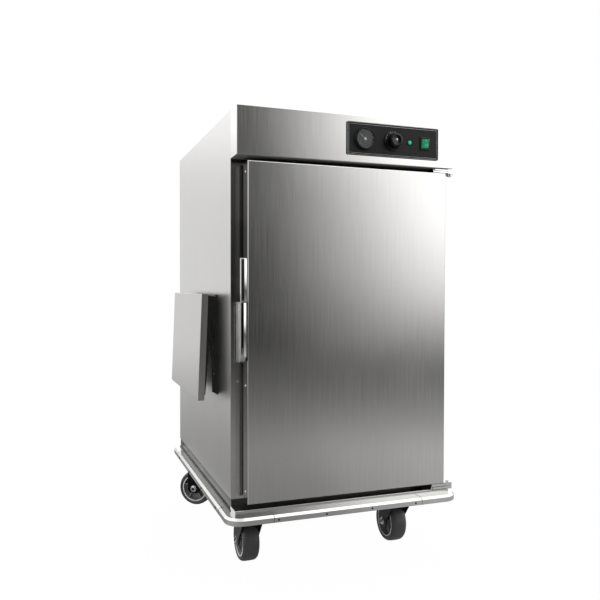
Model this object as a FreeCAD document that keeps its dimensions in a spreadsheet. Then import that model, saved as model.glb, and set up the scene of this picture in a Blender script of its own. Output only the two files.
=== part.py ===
import FreeCAD
import Part
import Sketcher
import math
import os
import re

# Heated holding cabinet on four swivel casters: an insulated box with one hinged door, ten pan
# levels, a control housing across the top of its front, a fold-down shelf on its left side and
# a metal bumper all round its base.
#
# Every piece is drawn in cabinet coordinates: X from the body's left side, Y from the body's
# front face towards its back, Z from the floor. One last shift moves each piece into the part's
# own frame, whose origin is on the floor under the middle of the whole object.

SIZES = {
    # body: outer faces and sheet
    "body_width": 650.0,
    "body_depth": 791.0,
    "body_bottom": 232.0,
    "body_top": 1284.0,
    "sheet": 1.2,
    # chamber: inner faces, and the fixed front frame round its mouth
    "chamber_left": 45.0,
    "chamber_floor": 262.0,
    "chamber_ceiling": 1116.0,
    "chamber_depth": 745.0,
    "throat": 30.0,
    "frame_top": 1153.6,
    # pan runners and the posts that carry them
    "levels": 10.0,
    "first_level": 335.0,
    "level_pitch": 75.0,
    "post_front": 130.0,
    "post_back": 590.0,
    "post_width": 30.0,
    "post_reach": 12.0,
    "post_top": 1050.0,
    "runner_front": 35.0,
    "runner_back": 690.0,
    "runner_ledge": 22.0,
    "runner_drop": 18.0,
    # control housing and its black plate
    "header_bottom": 1154.0,
    "front_reach": 65.0,
    "sheet_bend": 2.0,
    "plate_left": 311.0,
    "plate_right": 599.0,
    "plate_bottom": 1174.5,
    "plate_top": 1266.0,
    "plate_thick": 2.0,
    "plate_rim": 4.0,
    "plate_rim_rise": 2.0,
    "plate_corner": 5.0,
    "control_height": 1220.0,
    "gauge_x": 365.0,
    "gauge_radius": 30.0,
    "gauge_rise": 10.0,
    "knob_x": 453.0,
    "knob_radius": 28.0,
    "knob_cap_radius": 17.0,
    "knob_reach": 25.0,
    "lamp_x": 506.0,
    "lamp_radius": 6.0,
    "switch_x": 555.0,
    "switch_width": 30.0,
    "switch_height": 36.0,
    # fan, heater and their cover under the chamber's ceiling
    "fan_y": 395.0,
    "fan_radius": 75.0,
    "fan_top": 1106.0,
    "fan_bottom": 1072.0,
    "shaft_radius": 5.0,
    "heater_radius": 100.0,
    "heater_tube": 4.0,
    "heater_height": 1090.0,
    "cover_bottom": 1058.0,
    "motor_base": 1152.3,
    "motor_radius": 42.0,
    "motor_height": 78.0,
    # door
    "door_left": 30.5,
    "door_right": 627.0,
    "door_bottom": 233.0,
    "door_top": 1141.0,
    "door_skin_depth": 44.5,
    "door_edge_bend": 3.0,
    "door_step": 4.0,
    "door_screw_inset": 25.0,
    "first_door_screw": 28.0,
    "door_screw_pitch": 284.3,
    "gasket_depth": 8.0,
    "gasket_width": 14.0,
    "hinge_x": 648.0,
    "hinge_y": -48.0,
    "hinge_pin": 5.0,
    "hinge_width": 26.0,
    "hinge_length": 60.0,
    "knuckle_radius": 10.0,
    "knuckle_drop": 4.0,
    "pin_head_radius": 8.0,
    "pin_head_drop": 6.5,
    # latch on the door's left edge
    "latch_left": 9.0,
    "latch_right": 25.5,
    "latch_bottom": 608.0,
    "latch_top": 769.0,
    "latch_front": -68.0,
    "latch_back": -22.0,
    "latch_toe_radius": 25.0,
    "grip_top": 884.0,
    "grip_front": -74.0,
    "grip_thick": 8.0,
    "pivot_y": -44.0,
    "pivot_z": 700.0,
    "pivot_radius": 2.5,
    # fold-down shelf on the left side
    "shelf_axis_x": -22.0,
    "shelf_axis_z": 772.0,
    "shelf_front": 142.0,
    "shelf_back": 607.0,
    "shelf_outer": 28.0,
    "shelf_thick": 19.0,
    "shelf_above": 15.0,
    "shelf_below": 292.0,
    "shelf_tilt": 2.2,
    "strut_seat": 86.0,
    "strut_length": 130.0,
    "strut_slot_x": -10.5,
    # chassis, bumper and ledge
    "skirt_inset": 2.0,
    "chassis_front": -50.0,
    "chassis_bottom": 172.0,
    "chassis_top": 200.0,
    "tube_width": 40.0,
    "tube_wall": 2.0,
    "ledge_top": 214.0,
    "bumper_reach": 25.0,
    "bumper_bottom": 180.0,
    "bumper_top": 200.0,
    "bumper_wall": 3.0,
    "bumper_corner": 45.0,
    "bumper_bevel": 6.0,
    "corner_front_leg": 126.0,
    "corner_side_leg": 112.0,
    "seam": 0.8,
    # casters: 125 mm wheels, 50 mm wide, on swivelling forks
    "caster_x": 85.0,
    "caster_y": 105.0,
    "caster_trail": 44.0,
    "wheel_radius": 62.5,
    "wheel_width": 50.0,
    "tyre_inner": 48.0,
    "fork_gap": 54.6,
    "fork_sheet": 3.5,
    "crown_top": 142.0,
    "raceway_split": 153.5,
    "plate_underside": 162.0,
    "axle_radius": 5.0,
    "left_back_swivel": 52.0,
    "right_back_swivel": -35.0,
}

DOC = FreeCAD.newDocument("holding_cabinet")
SHEET = DOC.addObject("Spreadsheet::Sheet", "Sizes")
for row, (alias, value) in enumerate(SIZES.items(), start=1):
    SHEET.set(f"A{row}", alias)
    SHEET.set(f"B{row}", str(value))
    SHEET.setAlias(f"B{row}", alias)
DOC.recompute()

NODES = []

# The whole object's reach along X and Y gives the place of its middle.
LEFT_REACH = (
    "shelf_axis_x - shelf_outer * cos(shelf_tilt)"
    " - shelf_below * sin(shelf_tilt)"
)
RIGHT_REACH = "body_width + bumper_reach"
FRONT_REACH = "-(front_reach + plate_thick + knob_reach)"
BACK_REACH = "body_depth + bumper_reach"
MIDDLE_X = f"(({LEFT_REACH}) + ({RIGHT_REACH})) / 2"
MIDDLE_Y = f"(({FRONT_REACH}) + ({BACK_REACH})) / 2"


def cells(formula):
    """Put the sheet's name before each alias in a formula."""
    def name_cell(word):
        return "Sizes." + word.group() if word.group() in SIZES else word.group()
    return re.sub(r"[a-z][a-z0-9_]*", name_cell, str(formula))


def node(label, piece, x="0", y="0", z="0", turn=None, about=None):
    """Name a finished sub-part and move it into the part's frame."""
    if turn is not None:
        piece.Placement = FreeCAD.Placement(FreeCAD.Vector(), FreeCAD.Rotation(about, 1))
        piece.setExpression("Placement.Rotation.Angle", cells(turn))
    piece.Label = label
    piece.setExpression("Placement.Base.x", cells(f"({x}) - ({MIDDLE_X})"))
    piece.setExpression("Placement.Base.y", cells(f"({y}) - ({MIDDLE_Y})"))
    piece.setExpression("Placement.Base.z", cells(z))
    NODES.append(piece)
    return piece


def set_box(box, x, y, z):
    """Bind a box's low and high faces along X, Y and Z."""
    for side, base, (low, high) in (("Length", "x", x), ("Width", "y", y), ("Height", "z", z)):
        box.setExpression(side, cells(f"({high}) - ({low})"))
        box.setExpression("Placement.Base." + base, cells(low))
    return box


def set_rod(rod, along, x, y, z, radius, length):
    """Bind a cylinder that starts at x, y, z and runs along an axis."""
    turns = {
        "X": FreeCAD.Rotation(FreeCAD.Vector(0, 1, 0), 90),
        "Y": FreeCAD.Rotation(FreeCAD.Vector(1, 0, 0), -90),
        "Z": FreeCAD.Rotation(),
    }
    rod.Placement = FreeCAD.Placement(FreeCAD.Vector(), turns[along])
    rod.setExpression("Radius", cells(radius))
    rod.setExpression("Height", cells(length))
    rod.setExpression("Placement.Base.x", cells(x))
    rod.setExpression("Placement.Base.y", cells(y))
    rod.setExpression("Placement.Base.z", cells(z))
    return rod


def new_body(name):
    return DOC.addObject("PartDesign::Body", name)


def add_box(body, name, x, y, z):
    return set_box(body.newObject("PartDesign::AdditiveBox", name), x, y, z)


def cut_box(body, name, x, y, z):
    return set_box(body.newObject("PartDesign::SubtractiveBox", name), x, y, z)


def add_rod(body, name, along, x, y, z, radius, length):
    rod = body.newObject("PartDesign::AdditiveCylinder", name)
    return set_rod(rod, along, x, y, z, radius, length)


def cut_rod(body, name, along, x, y, z, radius, length):
    rod = body.newObject("PartDesign::SubtractiveCylinder", name)
    return set_rod(rod, along, x, y, z, radius, length)


def box_body(name, x, y, z):
    """A piece that starts as one block."""
    body = new_body(name)
    add_box(body, name + "_block", x, y, z)
    return body


def plain_box(name, x, y, z):
    return set_box(DOC.addObject("Part::Box", name), x, y, z)


def plain_rod(name, along, x, y, z, radius, length):
    return set_rod(DOC.addObject("Part::Cylinder", name), along, x, y, z, radius, length)


def group(name, pieces):
    """Separate solids that share one node."""
    compound = DOC.addObject("Part::Compound", name)
    compound.Links = pieces
    return compound


def cut(name, base, tool):
    result = DOC.addObject("Part::Cut", name)
    result.Base = base
    result.Tool = tool
    return result


def common(name, base, tool):
    result = DOC.addObject("Part::Common", name)
    result.Base = base
    result.Tool = tool
    return result


def mirror_x(name, source, plane):
    """The same piece on the other side of a plane across X."""
    result = DOC.addObject("Part::Mirroring", name)
    result.Source = source
    result.Normal = FreeCAD.Vector(1, 0, 0)
    result.setExpression("Base.x", cells(plane))
    return result


def round_edges(body, name, radius, chosen):
    """Fillet the edges of a body's last feature that a test picks out."""
    DOC.recompute()
    base = body.Tip
    box = base.Shape.BoundBox
    names = [
        f"Edge{number}"
        for number, edge in enumerate(base.Shape.Edges, start=1)
        if chosen(edge, box)
    ]
    fillet = body.newObject("PartDesign::Fillet", name)
    fillet.Base = (base, names)
    fillet.setExpression("Radius", cells(radius))
    DOC.recompute()
    return fillet


def close(first, second):
    return abs(first - second) < 0.01


def sketch_on(body, name, role, offset, points):
    """A closed outline of straight sides, each corner bound to its place in the sketch."""
    plane = next(item for item in body.Origin.OriginFeatures if item.Role == role)
    sketch = body.newObject("Sketcher::SketchObject", name)
    sketch.AttachmentSupport = [(plane, "")]
    sketch.MapMode = "FlatFace"
    sketch.setExpression("AttachmentOffset.Base.z", cells(offset))
    count = len(points)
    ring = [
        FreeCAD.Vector(50 * math.cos(2 * math.pi * i / count), 50 * math.sin(2 * math.pi * i / count), 0)
        for i in range(count)
    ]
    for i in range(count):
        sketch.addGeometry(Part.LineSegment(ring[i], ring[(i + 1) % count]))
    for i in range(count):
        sketch.addConstraint(Sketcher.Constraint("Coincident", i, 2, (i + 1) % count, 1))
    for i, corner in enumerate(points):
        for kind, formula, start in zip(("DistanceX", "DistanceY"), corner, (ring[i].x, ring[i].y)):
            constraint = Sketcher.Constraint(kind, -1, 1, i, 1, start)
            index = sketch.addConstraint(constraint)
            sketch.setExpression(f"Constraints[{index}]", cells(formula))
    return sketch


def pad(body, name, role, offset, points, length):
    """Pad an outline: upwards from XY, towards the right from YZ, towards the front from XZ."""
    feature = body.newObject("PartDesign::Pad", name)
    feature.Profile = sketch_on(body, name + "_outline", role, offset, points)
    feature.setExpression("Length", cells(length))
    return feature


def revolve(body, name, role, points, axis):
    """Turn a half section about the horizontal (H) or upright (V) axis of its sketch."""
    sketch = sketch_on(body, name + "_section", role, "0", points)
    feature = body.newObject("PartDesign::Revolution", name)
    feature.Profile = sketch
    feature.ReferenceAxis = (sketch, [axis + "_Axis"])
    feature.Angle = 360
    return feature


# Body: folded stainless panels round an insulated chamber


def side_panels():
    height = ("body_bottom", "body_top")
    depth = ("0", "body_depth")
    left = box_body("left_side", ("0", "sheet"), depth, height)
    node("side_panel_left", left)
    right = box_body("right_side", ("body_width - sheet", "body_width"), depth, height)
    node("side_panel_right", right)


def back_panel():
    # Six cooling slots near the top let the fan motor's space breathe.
    back = box_body(
        "back_sheet",
        ("sheet", "body_width - sheet"),
        ("body_depth - sheet", "body_depth"),
        ("body_bottom", "body_top"),
    )
    for row in range(6):
        low = f"header_bottom + 26 + {row} * 14"
        cut_box(
            back, f"cooling_slot_{row}", ("body_width - 250", "body_width - 110"),
            ("body_depth - 5", "body_depth + 5"), (low, f"{low} + 5"),
        )
    cut_rod(back, "gland_hole", "Y", "120", "body_depth - 5", "control_height - 10", "10.3", "10")
    node("back_panel", back)


def top_panel():
    inner_x = ("sheet", "body_width - sheet")
    inner_y = ("0", "body_depth - sheet")
    top = box_body("top_sheet", inner_x, inner_y, ("body_top - 16", "body_top"))
    cut_box(
        top, "top_hollow", ("2 * sheet", "body_width - 2 * sheet"),
        ("sheet", "body_depth - 2 * sheet"), ("body_top - 20", "body_top - sheet"),
    )
    node("top_panel", top)


def door_frame():
    # Flat front ring with a return round the chamber's mouth, where the gasket seats.
    opening_x = ("chamber_left", "body_width - chamber_left")
    opening_z = ("chamber_floor", "chamber_ceiling")
    frame = box_body(
        "front_ring", ("sheet", "body_width - sheet"), ("0", "sheet"), ("body_bottom", "frame_top")
    )
    add_box(
        frame, "mouth_return",
        ("chamber_left - sheet", "body_width - chamber_left + sheet"), ("0", "throat"),
        ("chamber_floor - sheet", "chamber_ceiling + sheet"),
    )
    cut_box(frame, "mouth", opening_x, ("-5", "throat + 5"), opening_z)
    node("door_frame", frame)


def chamber_liner():
    # Five plates: left, right, floor, ceiling and back.
    across = ("chamber_left - sheet", "body_width - chamber_left + sheet")
    upright = ("chamber_floor", "chamber_ceiling")
    depth = ("throat", "chamber_depth")
    left = plain_box("liner_left", ("chamber_left - sheet", "chamber_left"), depth, upright)
    right = plain_box(
        "liner_right", ("body_width - chamber_left", "body_width - chamber_left + sheet"), depth, upright
    )
    floor = plain_box("liner_floor", across, depth, ("chamber_floor - sheet", "chamber_floor"))
    ceiling = plain_box("liner_ceiling_plate", across, depth, ("chamber_ceiling", "chamber_ceiling + sheet"))
    ceiling = cut("liner_ceiling", ceiling, ceiling_holes("liner_holes"))
    back = plain_box(
        "liner_back", across, ("chamber_depth", "chamber_depth + sheet"),
        ("chamber_floor - sheet", "chamber_ceiling + sheet"),
    )
    node("chamber_liner", group("liner_plates", [left, right, floor, ceiling, back]))


def ceiling_holes(name):
    """The ways up through ceiling and insulation for the fan's shaft and the heater's ends."""
    low = "chamber_ceiling - 5"
    length = "motor_base - chamber_ceiling + 10"
    shaft = plain_rod(name + "_shaft", "Z", "body_width / 2", "fan_y", low, "12", length)
    ends = [
        plain_rod(
            f"{name}_end_{i}", "Z", f"body_width / 2 + {side} * 20", "fan_y + heater_radius",
            low, "heater_tube + 2", length,
        )
        for i, side in enumerate((-1, 1))
    ]
    return group(name, [shaft] + ends)


def insulation_slabs():
    # Five mineral wool slabs between the chamber and the outer panels.
    gap = "0.3"
    slab_x = ("chamber_left - sheet - " + gap, "body_width - chamber_left + sheet + " + gap)
    outer_x = ("sheet + " + gap, "body_width - sheet - " + gap)
    upright = ("body_bottom + 2", "motor_base - 0.3")
    full_depth = ("1.5", "body_depth - sheet - " + gap)
    back_y = ("chamber_depth + sheet + " + gap, "body_depth - sheet - " + gap)
    inner_y = ("throat + " + gap, "chamber_depth + sheet")
    left = plain_box("slab_left", (outer_x[0], slab_x[0]), full_depth, upright)
    right = plain_box("slab_right", (slab_x[1], outer_x[1]), full_depth, upright)
    back = plain_box("slab_back", slab_x, back_y, upright)
    floor = plain_box("slab_floor", slab_x, inner_y, (upright[0], "chamber_floor - sheet - " + gap))
    top = plain_box("slab_top_block", slab_x, inner_y, ("chamber_ceiling + sheet + " + gap, upright[1]))
    top = cut("slab_top", top, ceiling_holes("slab_holes"))
    node("insulation_slabs", group("slabs", [left, right, back, floor, top]))


def level_height(level):
    return f"first_level + {level} * level_pitch"


def rack_posts():
    # Four channels on the chamber's side walls, each with a slot at every pan level.
    posts = []
    for side, wall_x in (("left", "chamber_left"), ("right", "body_width - chamber_left")):
        sign = "" if side == "left" else "-"
        for place, front in (("front", "post_front"), ("back", "post_back")):
            low, high = sorted_span(wall_x, f"{wall_x} + {sign}post_reach", side == "left")
            post = box_body(
                f"post_{side}_{place}", (low, high), (front, f"{front} + post_width"),
                ("chamber_floor", "post_top"),
            )
            hollow = sorted_span(wall_x, f"{wall_x} + {sign}(post_reach - sheet)", side == "left")
            cut_box(
                post, f"post_{side}_{place}_hollow", hollow,
                (f"{front} + sheet", f"{front} + post_width - sheet"), ("chamber_floor - 1", "post_top + 1"),
            )
            slots = sorted_span(f"{wall_x} + {sign}5", f"{wall_x} + {sign}(post_reach + 1)", side == "left")
            slot = cut_box(
                post, f"post_{side}_{place}_slot", slots,
                (f"{front} + 8", f"{front} + post_width - 8"),
                ("first_level - 12", "first_level - 8"),
            )
            repeat_up(post, slot)
            posts.append(post)
    node("rack_posts", group("posts", posts))


def sorted_span(near, far, left_side):
    """Low and high ends of a span that starts on a wall, for either wall."""
    return (near, far) if left_side else (far, near)


def repeat_up(body, feature):
    """Repeat a feature once per pan level."""
    DOC.recompute()
    pattern = body.newObject("PartDesign::LinearPattern", feature.Name + "_levels")
    pattern.Originals = [feature]
    upright = next(item for item in body.Origin.OriginFeatures if item.Role == "Z_Axis")
    pattern.Direction = (upright, [""])
    pattern.setExpression("Length", cells("(levels - 1) * level_pitch"))
    pattern.Occurrences = int(SIZES["levels"])
    body.Tip = pattern
    DOC.recompute()


def pan_runners():
    # Angle rails in facing pairs: a pan's rim slides in on each pair.
    depth = ("runner_front", "runner_back")
    reach = "chamber_left + post_reach"
    rails = []
    for level in range(int(SIZES["levels"])):
        top = level_height(level)
        upright = plain_box(
            f"runner_upright_{level}", (reach, reach + " + sheet"), depth, (f"{top} - runner_drop", top)
        )
        ledge = plain_box(
            f"runner_ledge_{level}", (reach, reach + " + runner_ledge"), depth, (f"{top} - sheet", top)
        )
        rail = DOC.addObject("Part::MultiFuse", f"runner_left_{level}")
        rail.Shapes = [upright, ledge]
        rails.append(rail)
        rails.append(mirror_x(f"runner_right_{level}", rail, "body_width / 2"))
    node("pan_runners", group("runners", rails))


# Control housing across the top of the front


def header_box():
    housing = box_body(
        "header_sheet", ("0", "body_width"), ("-front_reach", "-0.2"), ("header_bottom", "body_top")
    )
    round_edges(
        housing, "header_bends", "sheet_bend",
        lambda edge, box: close(edge.CenterOfMass.y, box.YMin),
    )
    cut_box(
        housing, "header_hollow", ("sheet", "body_width - sheet"), ("-front_reach + sheet", "5"),
        ("header_bottom + sheet", "body_top - sheet"),
    )
    cut_box(
        housing, "header_cutout", ("plate_left + 14", "plate_right - 14"), ("-front_reach - 5", "-50"),
        ("plate_bottom + 8", "plate_top - 8"),
    )
    node("header_box", housing)


def control_plate():
    face = "-front_reach - plate_thick"
    plate = box_body(
        "plate_blank", ("plate_left", "plate_right"), (f"{face} - plate_rim_rise", "-front_reach"),
        ("plate_bottom", "plate_top"),
    )
    round_edges(
        plate, "plate_corners", "plate_corner",
        lambda edge, box: close(edge.Length, box.YLength) and close(edge.CenterOfMass.y, box.Center.y),
    )
    round_edges(
        plate, "plate_rim_edge", "1",
        lambda edge, box: close(edge.BoundBox.YMax, box.YMin),
    )
    cut_box(
        plate, "plate_field", ("plate_left + plate_rim", "plate_right - plate_rim"),
        (f"{face} - 5", face), ("plate_bottom + plate_rim", "plate_top - plate_rim"),
    )
    for name, x, radius in (
        ("gauge", "gauge_x", "gauge_radius - 4"),
        ("knob", "knob_x", "shaft_radius + 1"),
        ("lamp", "lamp_x", "lamp_radius - 0.8"),
    ):
        cut_rod(plate, name + "_hole", "Y", x, "-front_reach - 10", "control_height", radius, "20")
    cut_box(
        plate, "switch_hole", ("switch_x - switch_width / 2 + 1.8", "switch_x + switch_width / 2 - 1.8"),
        ("-front_reach - 10", "-front_reach + 5"),
        ("control_height - switch_height / 2 + 1.8", "control_height + switch_height / 2 - 1.8"),
    )
    node("control_plate", plate)


def thermometer():
    # Round case with a raised bezel, a flat dial inside it, a glass and a needle.
    face = "-front_reach - plate_thick"
    case = new_body("gauge_case")
    revolve(case, "gauge_shell", "XY_Plane", [
        ("0", "-front_reach + 30"),
        ("gauge_radius - 5", "-front_reach + 30"),
        ("gauge_radius - 5", face),
        ("gauge_radius", face),
        ("gauge_radius", f"{face} - gauge_rise + 2"),
        ("gauge_radius - 1.5", f"{face} - gauge_rise"),
        ("gauge_radius - 3", f"{face} - gauge_rise"),
        ("gauge_radius - 4", f"{face} - gauge_rise + 1.5"),
        ("gauge_radius - 4", f"{face} - 2.5"),
        ("1", f"{face} - 2.5"),
        ("1", f"{face} - 5.2"),
        ("0", f"{face} - 5.2"),
    ], "V")
    node("thermometer_case", case, x="gauge_x", z="control_height")
    glass = new_body("gauge_glass")
    revolve(glass, "gauge_pane", "XY_Plane", [
        ("0", f"{face} - gauge_rise + 2"),
        ("gauge_radius - 4", f"{face} - gauge_rise + 2"),
        ("gauge_radius - 4", f"{face} - gauge_rise + 3.2"),
        ("0", f"{face} - gauge_rise + 3.2"),
    ], "V")
    node("thermometer_glass", glass, x="gauge_x", z="control_height")
    needle = box_body("needle_arm", ("-0.6", "0.6"), (f"{face} - 4.6", f"{face} - 3.9"), ("-7", "21"))
    add_rod(needle, "needle_hub", "Y", "0", f"{face} - 5.6", "0", "2.8", "2.2")
    cut_rod(needle, "needle_bore", "Y", "0", f"{face} - 5.4", "0", "1.3", "5")
    node("thermometer_needle", needle, x="gauge_x", z="control_height",
         turn="52", about=FreeCAD.Vector(0, -1, 0))


def thermostat():
    # Capillary thermostat behind the plate; its shaft carries the knob.
    body = box_body(
        "thermostat_block", ("knob_x - 24", "knob_x + 24"), ("-front_reach + 6", "-25"),
        ("control_height - 24", "control_height + 24"),
    )
    add_rod(body, "thermostat_neck", "Y", "knob_x", "-front_reach - plate_thick + 0.5", "control_height",
            "shaft_radius + 0.7", "8")
    add_rod(body, "thermostat_shaft", "Y", "knob_x", "-front_reach - plate_thick - 15", "control_height",
            "3", "25")
    node("thermostat_body", body)
    face = "-front_reach - plate_thick - 0.5"
    front = "-front_reach - plate_thick - knob_reach"
    knob = new_body("knob_turned")
    revolve(knob, "knob_shape", "XY_Plane", [
        ("3.3", face),
        ("knob_radius", face),
        ("knob_radius", f"{face} - 3"),
        ("knob_radius - 2", f"{face} - 5"),
        ("knob_cap_radius + 1.5", f"{face} - 5"),
        ("knob_cap_radius", f"{face} - 7"),
        ("knob_cap_radius", f"{front} + 3"),
        ("knob_cap_radius - 3", front),
        ("9", front),
        ("7", f"{front} + 1.5"),
        ("0", f"{front} + 1.5"),
        ("0", f"{face} - 16"),
        ("3.3", f"{face} - 16"),
    ], "V")
    node("thermostat_knob", knob, x="knob_x", z="control_height")


def lamp_and_switch():
    face = "-front_reach - plate_thick"
    lamp = new_body("lamp_turned")
    revolve(lamp, "lamp_shape", "XY_Plane", [
        ("0", "-front_reach + 22"),
        ("lamp_radius - 1", "-front_reach + 22"),
        ("lamp_radius - 1", face),
        ("lamp_radius", face),
        ("lamp_radius", f"{face} - 1.5"),
        ("lamp_radius - 1.5", f"{face} - 3.5"),
        ("lamp_radius - 3.5", f"{face} - 4.5"),
        ("0", f"{face} - 4.8"),
    ], "V")
    node("indicator_lamp", lamp, x="lamp_x", z="control_height")
    housing = box_body(
        "switch_frame", ("switch_x - switch_width / 2", "switch_x + switch_width / 2"),
        (f"{face} - 2.5", face),
        ("control_height - switch_height / 2", "control_height + switch_height / 2"),
    )
    add_box(
        housing, "switch_back", ("switch_x - switch_width / 2 + 2", "switch_x + switch_width / 2 - 2"),
        (face, "-front_reach + 22"),
        ("control_height - switch_height / 2 + 2", "control_height + switch_height / 2 - 2"),
    )
    cut_box(
        housing, "switch_well", ("switch_x - switch_width / 2 + 3.5", "switch_x + switch_width / 2 - 3.5"),
        (f"{face} - 5", "-front_reach + 8"),
        ("control_height - switch_height / 2 + 3", "control_height + switch_height / 2 - 3"),
    )
    # The key tilts on two small trunnions in the well's walls.
    trunnion = "switch_width / 2 - 3.1"
    cut_rod(housing, "trunnion_bore", "X", f"switch_x - ({trunnion}) - 0.3", f"{face} + 0.5", "control_height",
            "1.28", f"2 * ({trunnion}) + 0.6")
    rocker = new_body("rocker_key")
    key_width = "switch_width - 8"
    pad(rocker, "rocker_shape", "YZ_Plane", f"-({key_width}) / 2", [
        ("3", "-12"),
        ("-3.5", "-12.4"),
        ("-5", "0"),
        ("-10", "12.4"),
        ("3", "12"),
    ], key_width)
    add_rod(rocker, "rocker_trunnions", "X", f"-({trunnion})", "0", "0", "1.2", f"2 * ({trunnion})")
    node("switch_housing", housing)
    node("switch_rocker", rocker, x="switch_x", y=f"{face} + 0.5", z="control_height")


# Heat: fan on top, heater ring round its wheel, perforated cover below


def fan_and_heater():
    centre_x = "body_width / 2"
    motor = new_body("motor_can")
    revolve(motor, "motor_shape", "XZ_Plane", [
        ("shaft_radius + 0.08", "motor_base"),
        ("motor_radius + 18", "motor_base"),
        ("motor_radius + 18", "motor_base + 2"),
        ("motor_radius", "motor_base + 2"),
        ("motor_radius", "motor_base + motor_height - 4"),
        ("motor_radius - 4", "motor_base + motor_height"),
        ("0", "motor_base + motor_height"),
        ("0", "motor_base + 24"),
        ("shaft_radius + 0.08", "motor_base + 24"),
    ], "V")
    node("fan_motor", motor, x=centre_x, y="fan_y")
    wheel = new_body("fan_wheel")
    revolve(wheel, "fan_disc", "XZ_Plane", [
        ("0", "fan_bottom + 4"),
        ("12", "fan_bottom + 4"),
        ("14", "fan_top - 2"),
        ("fan_radius", "fan_top - 2"),
        ("fan_radius", "fan_top"),
        ("shaft_radius", "fan_top"),
        ("shaft_radius", "motor_base + 22"),
        ("0", "motor_base + 22"),
    ], "V")
    blade = add_box(wheel, "fan_blade", ("30", "fan_radius"), ("-1", "1"), ("fan_bottom", "fan_top - 1"))
    DOC.recompute()
    ring = wheel.newObject("PartDesign::PolarPattern", "fan_blades")
    ring.Originals = [blade]
    upright = next(item for item in wheel.Origin.OriginFeatures if item.Role == "Z_Axis")
    ring.Axis = (upright, [""])
    ring.Angle = 360
    ring.Occurrences = 12
    wheel.Tip = ring
    node("fan_impeller", wheel, x=centre_x, y="fan_y")
    loop = DOC.addObject("Part::Torus", "heater_loop")
    loop.setExpression("Radius1", cells("heater_radius"))
    loop.setExpression("Radius2", cells("heater_tube"))
    for base, formula in (("x", centre_x), ("y", "fan_y"), ("z", "heater_height")):
        loop.setExpression("Placement.Base." + base, cells(formula))
    ends = [
        plain_rod(
            f"heater_end_{i}", "Z", f"{centre_x} + {side} * 20", f"fan_y + sqrt(heater_radius ^ 2 - 20 ^ 2)",
            "heater_height", "heater_tube - 0.4", "motor_base + 14 - heater_height",
        )
        for i, side in enumerate((-1, 1))
    ]
    element = DOC.addObject("Part::MultiFuse", "heater_tube_ring")
    element.Shapes = [loop] + ends
    node("heating_element", element)


def duct_cover():
    # Tray under the ceiling: holes below the fan draw air in, side slots blow it out.
    low_x = "chamber_left + 1"
    high_x = "body_width - chamber_left - 1"
    low_y = "throat + 3"
    high_y = "chamber_depth - 2"
    tray = box_body("cover_tray", (low_x, high_x), (low_y, high_y), ("cover_bottom", "chamber_ceiling"))
    cut_box(
        tray, "cover_hollow", (f"{low_x} + sheet", f"{high_x} - sheet"),
        (f"{low_y} + sheet", f"{high_y} - sheet"), ("cover_bottom + sheet", "chamber_ceiling + 5"),
    )
    centre_x = "body_width / 2"
    for ring, (radius, count) in enumerate(((24, 6), (46, 12))):
        for i in range(count):
            angle = 360 * i / count
            cut_rod(
                tray, f"inlet_{ring}_{i}", "Z", f"{centre_x} + {radius} * cos({angle})",
                f"fan_y + {radius} * sin({angle})", "cover_bottom - 5", "8", "10",
            )
    cut_rod(tray, "inlet_middle", "Z", centre_x, "fan_y", "cover_bottom - 5", "8", "10")
    for i in range(5):
        front = f"{low_y} + 60 + {i} * 125"
        for side, edge_x in (("left", f"{low_x} + 12"), ("right", f"{high_x} - 22")):
            cut_box(
                tray, f"outlet_{side}_{i}", (edge_x, f"{edge_x} + 10"),
                (front, f"{front} + 85"), ("cover_bottom - 5", "cover_bottom + 5"),
            )
    node("air_duct_cover", tray)


def cable_gland():
    gland = new_body("gland_turned")
    revolve(gland, "gland_shape", "XY_Plane", [
        ("5", "body_depth - 16"),
        ("10", "body_depth - 16"),
        ("10", "body_depth - 7"),
        ("14", "body_depth - 7"),
        ("14", "body_depth - sheet - 0.2"),
        ("10", "body_depth - sheet - 0.2"),
        ("10", "body_depth + 0.2"),
        ("14", "body_depth + 0.2"),
        ("14", "body_depth + 7"),
        ("11.5", "body_depth + 9"),
        ("11.5", "body_depth + 15"),
        ("9", "body_depth + 19"),
        ("5", "body_depth + 19"),
    ], "V")
    node("cable_gland", gland, x="120", z="control_height - 10")


# Door


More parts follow.
